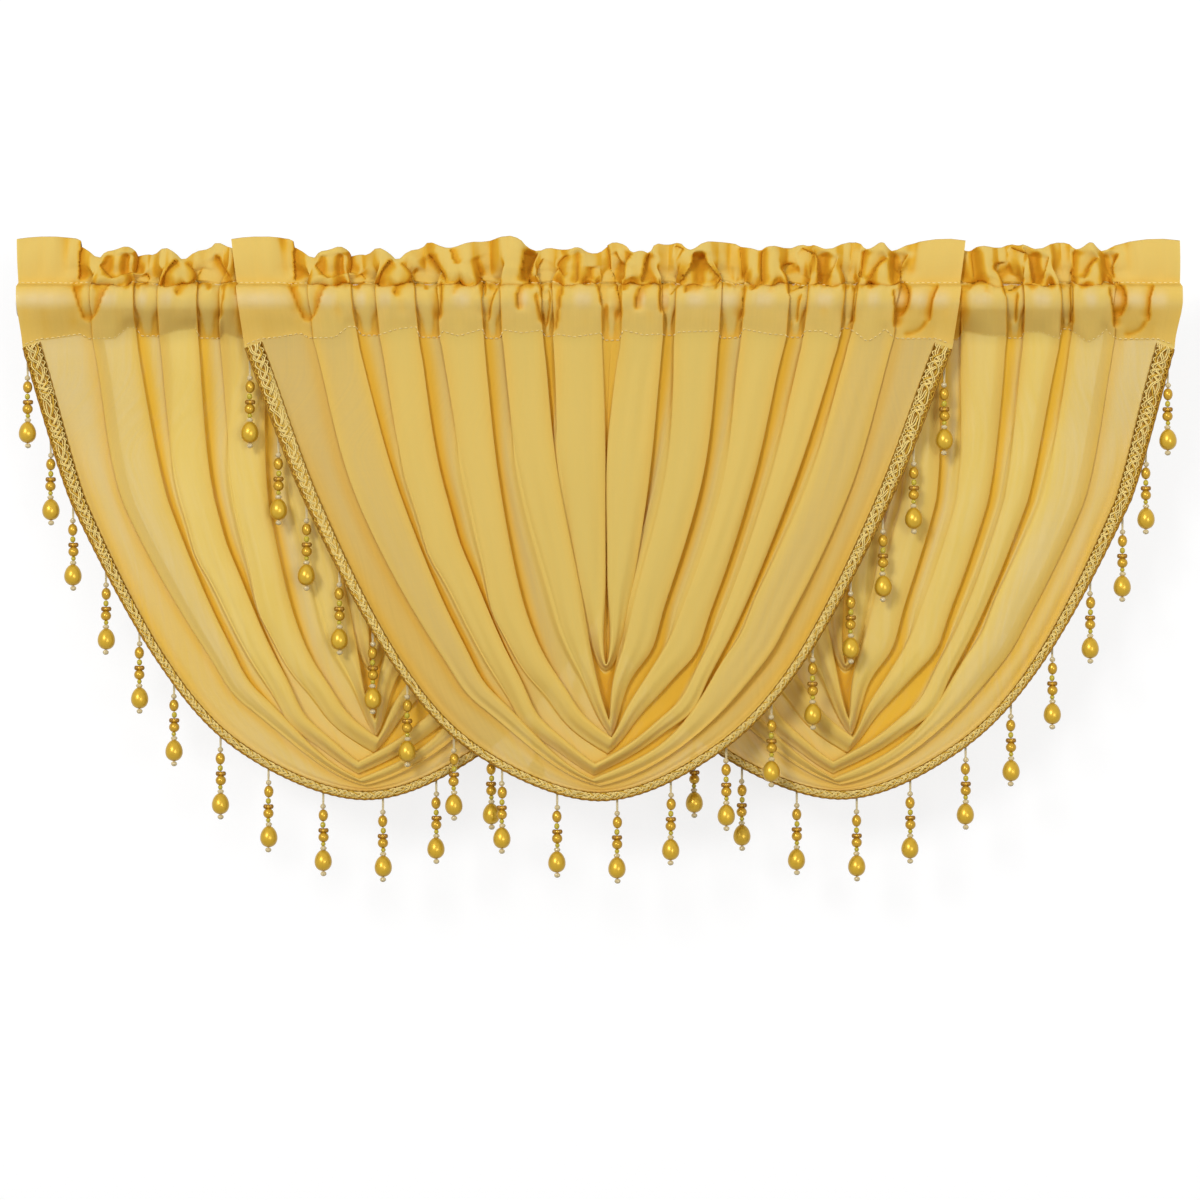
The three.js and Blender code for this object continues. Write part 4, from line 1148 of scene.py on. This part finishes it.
def voile_material(name, colours):
    material, tree = blank_material(name)
    cut = tree.nodes.new("ShaderNodeUVMap")
    cut.uv_map = "Cut"
    tints = []
    for label in ("Single", "Deep", "Taut"):
        node = tree.nodes.new("ShaderNodeAttribute")
        node.attribute_name = label
        tints.append(node.outputs["Fac"])
    single, deep, taut_and_glint = tints
    # painted shade: a fold colour over the first half of the deep tint, then the crease colour in
    # the deepest creases
    fold_shade_share = math_node(tree, "MULTIPLY", deep, 2.0, clamp=True)
    crease_shade_share = math_node(tree, "SUBTRACT", deep, 0.5)
    crease_shade_share = math_node(tree, "MULTIPLY", crease_shade_share, 2.0, clamp=True)
    tone = mix_colours(tree, single, colours.voile, colours.voile_single)
    tone = mix_colours(tree, fold_shade_share, tone, colours.voile_fold_shade_and_through)
    tone = mix_colours(tree, crease_shade_share, tone, colours.voile_crease_shade)
    # painted highlight of the rod shining through where the cloth is stretched over it; the weave
    # there also opens
    glint_share = math_node(tree, "MULTIPLY", taut_and_glint, 0.85)
    tone = mix_colours(tree, glint_share, tone, colours.voile_rod_glint)
    opened = math_node(tree, "MULTIPLY", taut_and_glint, colours.cover - colours.cover_taut)
    cover = scaled(tree, single, colours.cover_single - colours.cover, colours.cover)
    cover = math_node(tree, "SUBTRACT", cover, opened)
    cloth = shared(tree, "WovenCloth", {
        "Vector": cut.outputs["UV"], "Colour": tone,
        "Deep Colour": mix_colours(tree, fold_shade_share, colours.voile_slub, tone),
        "Cover": scaled(tree, deep, 0.1, cover, clamp=True), "Unevenness": 0.5})
    face = new_node(tree, "BsdfPrincipled", {
        "Base Color": cloth["Colour"], "Normal": bump(tree, cloth["Height"], 0.25, 0.0004),
        "Roughness": scaled(tree, taut_and_glint, -0.25, 0.6), "Specular IOR Level": 0.12})
    behind = mix_colours(tree, 0.75, cloth["Colour"], colours.voile_fold_shade_and_through)
    lit = mix_shaders(tree, 0.25, face, new_node(tree, "BsdfTranslucent", {"Color": behind}))
    open_weave = tree.nodes.new("ShaderNodeBsdfTransparent")
    return surfaced(material, mix_shaders(tree, cloth["Cover"], open_weave, lit))


def thread_material(name, colour, share, metallic, fineness):
    """Spun thread whose twist hollows take a share of its colour as painted shade."""
    material, tree = blank_material(name)
    spun = shared(tree, "SpunThread", {"Colour": rgba(colour),
                                       "Deep Colour": rgba(darker(colour, share)),
                                       "Fineness": fineness})
    return surfaced(material, new_node(tree, "BsdfPrincipled", {
        "Base Color": spun["Colour"], "Roughness": spun["Roughness"],
        "Normal": bump(tree, spun["Height"], 0.3, 0.0004),
        "Metallic": metallic, "Specular IOR Level": 0.25}))


def bead_material(name, colour, share, roughness, metallic, clear, coat):
    """Cloudy glass or lacquer whose dark clouds have a share of its colour."""
    material, tree = blank_material(name)
    cloud = noise_node(tree, place_node(tree), 130.0, 3.0, 0.6)
    return surfaced(material, new_node(tree, "BsdfPrincipled", {
        "Base Color": mix_colours(tree, cloud, darker(colour, share), colour),
        "Roughness": scaled(tree, cloud, 0.12, roughness), "Metallic": metallic,
        "Specular IOR Level": 0.35, "Transmission Weight": clear, "Coat Weight": coat,
        "Coat Roughness": 0.3, "IOR": 1.45}))


def rod_material(name, colours):
    material, tree = blank_material(name)
    place = place_node(tree)
    grain = noise_node(tree, stretched(tree, place, (6, 300, 300)), 1.0, 3.0, 0.6)
    cloud = noise_node(tree, place, 25.0, 3.0, 0.5)
    return surfaced(material, new_node(tree, "BsdfPrincipled", {
        "Base Color": mix_colours(tree, cloud, darker(colours.rod, 0.88), colours.rod),
        "Roughness": scaled(tree, grain, 0.15, 0.36), "Normal": bump(tree, grain, 0.1, 0.0002),
        "Metallic": 0.2, "Coat Weight": 0.1, "Coat Roughness": 0.3}))


def stage_material(name):
    """Pale surface that the camera sees near white, seen through from behind."""
    material, tree = blank_material(name)
    tone = noise_node(tree, place_node(tree), 3.0, 2.0, 0.5)
    pale = mix_colours(tree, tone, darker(STAGE_GREY, 0.985), STAGE_GREY)
    face = new_node(tree, "BsdfDiffuse", {"Color": pale})
    light = new_node(tree, "Emission", {
        "Strength": math_node(tree, "MULTIPLY", seen_directly(tree), STAGE_GLOW)})
    both = new_node(tree, "AddShader", {0: face.outputs[0], 1: light.outputs[0]})
    behind = tree.nodes.new("ShaderNodeNewGeometry").outputs["Backfacing"]
    clear = tree.nodes.new("ShaderNodeBsdfTransparent")
    return surfaced(material, mix_shaders(tree, behind, both, clear))


def made(maker, name, *values):
    """A material by its name, made when it is first asked for."""
    return bpy.data.materials.get(name) or maker(name, *values)


# ---------------------------------------------------------------- pieces

def build_panel(name, colours):
    valance = VALANCES[name]
    points, quads, uvs, tints, stitch_rows = panel_cloth(valance)
    piece = sheet_mesh(f"{name}_cloth", points, quads, uvs, tints)
    piece.data.materials.append(made(voile_material, "golden_voile", colours))
    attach(piece, "root")
    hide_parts(f"{name}_panel")
    return piece, stitch_rows


def build_stitches(name, stitch_rows, colours):
    """Running stitches along the two rows of the pocket, a little in front of the cloth."""
    spacing, stitch = 5.4, 3.2
    gather = Gather()
    for row, lift in ((stitch_rows["seam"], 1.6), (stitch_rows["upper"], 0.0)):
        length = run_length(row)
        for start in np.arange(3, length[-1] - 5, spacing):
            places = np.linspace(start, start + stitch, 3)
            path = np.stack([np.interp(places, length, row[:, axis]) for axis in range(3)], 1)
            path[:, 1] -= (0.35, 0.85, 0.35)
            path[:, 2] += lift
            gather.add(tube(path, 0.55, 0.45, sides=4, out=(0, -1, 0.2)), 0)
    material = made(thread_material, "stitch_thread", colours.stitches, 0.85, 0.0, 2500.0)
    piece = gather.piece(f"{name}_stitches", [material])
    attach(piece, "root")
    return piece


def hem_run(spacing):
    """Places along the hem at even spacing, as shares of the crease and as lengths."""
    fine = np.linspace(0.0012, 0.9988, 3000)
    length = run_length(at("hem", fine))
    even = np.arange(0, length[-1], spacing)
    return np.interp(even, length, fine), even


BRAID_STEP = 1.6      # between the points along a cord of the braid


def build_braid(name, colours):
    """Gimp braid: three bundles of cords plaited over a narrow tape, a row of small loops on
    each side and a dark cord along the outer edge."""
    valance = VALANCES[name]
    seed = valance["seed"]
    along, run = hem_run(BRAID_STEP)
    width = braid_width(along)
    broad = (width - BRAID_NARROW) / (BRAID_BROAD - BRAID_NARROW)
    uneven = ripple(seed + 20, run, 0 * run, 38, 1)
    drift = ripple(seed + 21, run, 0 * run, 110, 1)
    pale, gold, dark = 0, 1, 2
    gather = Gather()

    def on_hem(inward, depth):
        cloth = -2.0 * inward / width * fullness(along)
        return hang(valance, beside_hem(along, inward), cloth + depth)

    def phase_of(pitch):
        return np.concatenate([[0], np.cumsum(2 * np.pi * BRAID_STEP / pitch[1:])])

    plait = phase_of(mix(19, 28, broad)) + 0.7 * uneven
    middle = width * mix(0.56, 0.52, broad) + 0.5 * drift * broad
    for bundle in range(3):
        phase = plait + bundle * 2 * np.pi / 3
        for cord in (-0.5, 0.5):
            aside = cord * mix(1.3, 2.1, broad) * (1 + 0.15 * uneven)
            sway = middle + width * 0.24 * np.sin(phase) + aside
            depth = -2.2 - 0.9 * np.cos(2 * phase + 0.7) - 0.2 * cord
            radius = mix(0.6, 0.75, broad) * (1 + 0.15 * np.sin(3 * phase + cord))
            gather.add(tube(on_hem(sway, depth), radius, 0.7, sides=4),
                       pale if cord < 0 or bundle else gold)
    loops = phase_of(mix(5.0, 7.0, broad)) + 0.8 * uneven
    reach = mix(0.6, 1.7, broad)
    for centre, lag, slot in ((mix(2.0, 2.8, broad), 0.0, gold),
                              (width - mix(1.8, 2.6, broad), 1.4, pale)):
        sway = centre + reach * np.sin(loops + lag)
        depth = -1.5 - 0.5 * np.cos(loops * 0.5 + lag)
        gather.add(tube(on_hem(sway, depth), 0.6, 0.55, sides=4), slot)
    outer = 0.9 + 0.25 * np.sin(loops * 0.6)
    gather.add(tube(on_hem(outer, -1.0 - 0.3 * np.cos(loops * 0.6)), 1.15, 1.1, sides=6), dark)
    inner = width - 0.4 + 0.2 * np.sin(loops * 0.7)
    gather.add(tube(on_hem(inner, -1.1 + 0 * width), 0.55, 0.55, sides=4), dark)
    # tape whose dark colour shows between the cords as painted shade
    tape = on_hem(width * 0.5, -0.9 + 0 * width)[::4]
    gather.add(tube(tape, (width * 0.45)[::4], 0.35, sides=8), dark)
    materials = [made(thread_material, label, getattr(colours, label), *values)
                 for label, values in (("braid_pale", (0.75, 0.1, 1100.0)),
                                       ("braid_gold", (0.6, 0.15, 1400.0)),
                                       ("braid_dark", (0.6, 0.25, 1400.0)))]
    piece = gather.piece(f"{name}_gimp", materials)
    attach(piece, "root")
    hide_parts(f"{name}_braid")
    return piece


def bead_profile(kind, height, width):
    """Outline (radius, height) of one bead about its middle; a pearl is a drop, a seed blunt."""
    turn = np.linspace(-np.pi / 2, np.pi / 2, BEAD_DETAIL[kind][1])
    radius, rise = np.cos(turn) * width / 2, np.sin(turn) * height / 2
    if kind == "pearl":
        radius = radius * (1.03 - 0.13 * rise / (height / 2))
    if kind == "seed":
        radius = radius ** 0.8 * (width / 2) ** 0.2
    return np.stack([np.maximum(radius, 0.0), rise], 1)


def rondelle_shape(height, width, sides=24):
    """A flat bead drawn out to an ear on each side."""
    points, quads, triangles = turned(np.array(RONDELLE_OUTLINE) * (width / 2, height), sides)
    angle = np.arctan2(points[:, 1], points[:, 0])
    reach = np.hypot(points[:, 0], points[:, 1]) / (width / 2)
    ear = np.abs(np.cos(angle)) ** 1.5
    points[:, :2] *= (1 - 0.62 * (1 - ear) * smooth(reach, 0.2, 0.7))[:, None]
    points[:, 2] *= mix(0.75, 1.0, ear)
    return points, quads, triangles


def build_fringe(name, colours):
    """Threaded drops of beads below a narrow tape behind the hem."""
    valance = VALANCES[name]
    random = np.random.default_rng(valance["seed"] + 40)
    behind_hem = (CLOTH_THICKNESS + TAPE_THICKNESS) / 2 + 0.6
    top_line = beside_hem(np.linspace(0, 1, 1201), 3.0)
    slots = {"thread": 0, "pearl": 1, "round": 2, "oval": 2, "rondelle": 3, "seed": 4, "clear": 5}
    rise = np.linspace(0, 1, 6)
    gather = Gather()
    for place in DROP_PLACES:
        start = top_line[np.argmin(np.abs(top_line[:, 0] - place))]
        top = hang(valance, start, behind_hem + 1.45)
        high = smooth(start[1], *DROPS_SHORTEN)
        length = float(mix(DROP_LENGTH, DROP_LENGTH_AT_ENDS, high))
        bottom = top - (0, 0, length)
        for kind, middle, height, width in BEADS:
            spot = bottom + (random.uniform(-0.35, 0.35), random.uniform(-0.3, 0.3), middle)
            if kind == "rondelle":
                gather.add(rondelle_shape(height, width), slots[kind], spot)
                # a gold core shows in the middle between the ears, whose dark colour is painted
                # shade
                core = bead_profile("round", height * 0.95, width * 0.56)
                gather.add(turned(core, 14), slots["oval"], spot)
                continue
            shape = turned(bead_profile(kind, height, width), BEAD_DETAIL[kind][0])
            gather.add(shape, slots[kind], spot)
        # two strands above the beads, one through them
        for side in (-0.55, 0.55):
            path = bottom + np.stack([side * (0.5 + 0.6 * np.sin(rise * np.pi)), 0.3 * rise,
                                      mix(69.5, length + 1.0, rise)], 1)
            gather.add(tube(path, 0.55, sides=6, out=(0, -1, 0.01)), slots["thread"])
        core = bottom + np.array([(0, 0, 1.5), (0, 0, 25), (0, 0, 50), (0, 0, 71)])
        gather.add(tube(core, 0.5, sides=6), slots["thread"])
    along = hem_run(6.0)[0]
    for inward in (1.6, 4.4):
        path = hang(valance, beside_hem(along, inward), behind_hem + 0 * along)
        gather.add(tube(path, 1.7, 0.5, sides=6), slots["thread"])
    # dark share of the colour, roughness, metallic, clear, coat
    beads = [made(thread_material, "fringe_thread", colours.thread, 0.7, 0.0, 2500.0)] + [
        made(bead_material, label, colour, *values) for label, colour, values in (
            ("golden_pearl", colours.pearl, (0.8, 0.26, 0.45, 0.0, 0.25)),
            ("gold_bead", colours.bead, (0.8, 0.2, 0.45, 0.0, 0.2)),
            ("rondelle", colours.rondelle, (0.7, 0.16, 0.2, 0.0, 0.0)),
            ("seed_bead", colours.seed, (0.85, 0.08, 0.0, 0.2, 0.0)),
            ("clear_bead", colours.clear, (0.9, 0.06, 0.0, 0.3, 0.0)))]
    piece = gather.piece(f"{name}_beads", beads)
    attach(piece, "root")
    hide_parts(f"{name}_fringe")
    return piece


# ---------------------------------------------------------------- add-on classes

def colour(name, description, default):
    return bpy.props.FloatVectorProperty(
        name=name, description=description, subtype="COLOR", size=3, min=0, max=1,
        default=default)


def filled(name, description, default):
    return bpy.props.FloatProperty(
        name=name, description=description, subtype="FACTOR", min=0, max=1, default=default)


def distance(name, description, default, lowest):
    return bpy.props.FloatProperty(
        name=name, description=description, unit="LENGTH", default=default, min=lowest)


class ValanceColours(bpy.types.PropertyGroup):
    """Colours and sheerness of the valances."""

    voile: colour("Voile", "Colour of the cloth where pleats lay it double",
                  (0.87, 0.665, 0.185))
    voile_single: colour("Single voile", "Colour of the cloth where it is one layer",
                         (0.73, 0.56, 0.225))
    # painted shade colour in folds and gaps; also the colour of light passing through the cloth
    voile_fold_shade_and_through: colour("Voile in folds", "Colour of the cloth deep in its folds",
                       (0.80, 0.46, 0.034))
    # painted shade colour in the deepest creases
    voile_crease_shade: colour("Voile in creases", "Colour of the cloth in its sharpest creases",
                         (0.68, 0.29, 0.008))
    # painted highlight colour of the rod shining through the pocket
    voile_rod_glint: colour("Voile over the rod", "Colour of the cloth stretched over the pale rod",
                       (0.96, 0.82, 0.47))
    voile_slub: colour("Voile slubs", "Colour of its thicker threads", (0.74, 0.53, 0.12))
    cover: filled("Cover", "Share of the weave that doubled cloth fills", 0.975)
    cover_single: filled("Single cover", "Share of the weave that one layer fills", 0.93)
    cover_taut: filled("Taut cover", "Share of the weave filled where the rod stretches it",
                       0.85)
    stitches: colour("Stitches", "Colour of the sewing thread", (0.95, 0.74, 0.30))
    braid_pale: colour("Plaited cords", "Colour of most of the braid's plaited cords",
                       (0.96, 0.74, 0.26))
    braid_gold: colour("Gold cords", "Colour of one plaited cord and the outer loops",
                       (0.82, 0.50, 0.05))
    # the tape's dark colour shows between the cords as painted shade; the edge cords have it too
    braid_dark: colour("Braid edges", "Colour of the braid's tape and edge cords",
                       (0.40, 0.19, 0.007))
    thread: colour("Fringe thread", "Colour of the drops' threads and their tape",
                   (0.80, 0.66, 0.36))
    pearl: colour("Pearls", "Colour of the pearls", (0.66, 0.40, 0.022))
    bead: colour("Gold beads", "Colour of the round and oval beads", (0.60, 0.34, 0.018))
    # the rondelles' dark colour on their ears is painted shade
    rondelle: colour("Rondelles", "Colour of the eared rondelles", (0.36, 0.17, 0.008))
    seed: colour("Seed beads", "Colour of the seed beads", (0.66, 0.53, 0.04))
    clear: colour("Clear beads", "Colour of the clear beads", (0.80, 0.66, 0.36))
    rod: colour("Rod", "Colour of the rod", (0.88, 0.84, 0.74))


class ValanceStage(bpy.types.PropertyGroup):
    """Room round the valances."""

    wall_distance: distance("Wall distance", "From the rod's axis to the backdrop", 0.13, 0.06)
    floor_drop: distance("Floor drop", "From the rod's axis down to the floor", 1.05, 0.6)
    camera_distance: distance("Camera distance", "From the rod to the camera", 4.0, 1)
    view_width: distance("View width", "Width that the camera sees at the rod", 1.2, 0.2)


class VALANCE_OT_stage(bpy.types.Operator):
    """Makes the backdrop, the floor, the lamps and the camera"""

    bl_idname = "valance.stage"
    bl_label = "Stage"

    def execute(self, context):
        stage = context.scene.valance_stage
        middle_x = (CAD_BOX[0][0] + CAD_BOX[1][0]) / 2
        left, right = middle_x - STAGE_WIDTH / 2, middle_x + STAGE_WIDTH / 2
        back, front = stage.wall_distance, stage.wall_distance - STAGE_DEPTH
        low, high = WALL_FOOT, WALL_TOP
        self.plane("wall", ((left, back, low), (right, back, low),
                            (right, back, high), (left, back, high)))
        drop = -stage.floor_drop
        self.plane("floor", ((left, front, drop), (right, front, drop),
                             (right, back, drop), (left, back, drop)))
        for name, place, power, degrees in LAMPS:
            self.lamp(name, place, power, math.radians(degrees))
        self.world(context.scene)
        self.camera(context.scene, stage, middle_x)
        return {"FINISHED"}

    def plane(self, name, corners):
        mesh = bpy.data.meshes.new(name)
        mesh.from_pydata(corners, [], [(0, 1, 2, 3)])
        mesh.update()
        piece = placed(name, mesh)
        mesh.materials.append(stage_material(f"{name}_paint"))

    def lamp(self, name, place, power, angle):
        light = bpy.data.lights.new(name, "SUN")
        light.energy = power
        light.angle = angle
        lamp = placed(name, light)
        lamp.location = place
        lamp.rotation_mode = "QUATERNION"
        lamp.rotation_quaternion = (-lamp.location).to_track_quat("-Z", "Y")

    def world(self, scene):
        scene.world = bpy.data.worlds.new("studio")
        scene.world.use_nodes = True
        tree = scene.world.node_tree
        tree.nodes.clear()
        strength = scaled(tree, seen_directly(tree), 1 - AMBIENT, AMBIENT)
        sky = new_node(tree, "Background", {"Color": (1, 1, 1, 1), "Strength": strength})
        new_node(tree, "OutputWorld", {"Surface": sky.outputs[0]})

    def camera(self, scene, stage, middle_x):
        data = bpy.data.cameras.new("camera")
        data.sensor_width = 36.0
        data.lens = data.sensor_width * stage.camera_distance / stage.view_width
        camera = placed("camera", data)
        camera.location = (middle_x + EYE_ASIDE, -stage.camera_distance, EYE_HEIGHT)
        camera.rotation_euler = (math.pi / 2, 0, 0)
        scene.camera = camera
        scene.view_settings.view_transform = "Standard"


class VALANCE_OT_rod(bpy.types.Operator):
    """Gives the rod its satin finish"""

    bl_idname = "valance.rod"
    bl_label = "Rod"

    def execute(self, context):
        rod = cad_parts["rod"]
        rod.data.materials.clear()
        rod.data.materials.append(made(rod_material, "satin_rod", context.scene.valance_colours))
        return {"FINISHED"}


class VALANCE_OT_trims(bpy.types.Operator):
    """Makes the braids and beaded fringes"""

    bl_idname = "valance.trims"
    bl_label = "Braids and fringes"

    def execute(self, context):
        thread_group()
        for name in VALANCES:
            build_braid(name, context.scene.valance_colours)
            build_fringe(name, context.scene.valance_colours)
        return {"FINISHED"}


class VALANCE_OT_panels(bpy.types.Operator):
    """Makes the three cloth panels with their stitches"""

    bl_idname = "valance.panels"
    bl_label = "Panels"

    def execute(self, context):
        woven_group()
        for name in VALANCES:
            cloth, stitch_rows = build_panel(name, context.scene.valance_colours)
            stitches = build_stitches(name, stitch_rows, context.scene.valance_colours)
        return {"FINISHED"}


class VALANCE_PT_parts(bpy.types.Panel):
    """Lists the parts of the valances and their settings"""

    bl_label = "Swag Valances"
    bl_idname = "VALANCE_PT_parts"
    bl_space_type = "VIEW_3D"
    bl_region_type = "UI"
    bl_category = "Valances"

    def draw(self, context):
        for operator in OPERATORS:
            self.layout.operator(operator.bl_idname)
        for settings in (context.scene.valance_stage, context.scene.valance_colours):
            for name in settings.__annotations__:
                self.layout.prop(settings, name)


OPERATORS = (VALANCE_OT_stage, VALANCE_OT_rod, VALANCE_OT_trims, VALANCE_OT_panels)
CLASSES = (ValanceColours, ValanceStage, *OPERATORS, VALANCE_PT_parts)


def register():
    for cls in CLASSES:
        bpy.utils.register_class(cls)
    bpy.types.Scene.valance_colours = bpy.props.PointerProperty(type=ValanceColours)
    bpy.types.Scene.valance_stage = bpy.props.PointerProperty(type=ValanceStage)


def unregister():
    del bpy.types.Scene.valance_colours
    del bpy.types.Scene.valance_stage
    for cls in reversed(CLASSES):
        bpy.utils.unregister_class(cls)


def main():
    """Builds everything."""
    register()
    bpy.ops.valance.stage()
    bpy.ops.valance.rod()
    bpy.ops.valance.trims()
    bpy.ops.valance.panels()


if __name__ == "__main__":
    main()
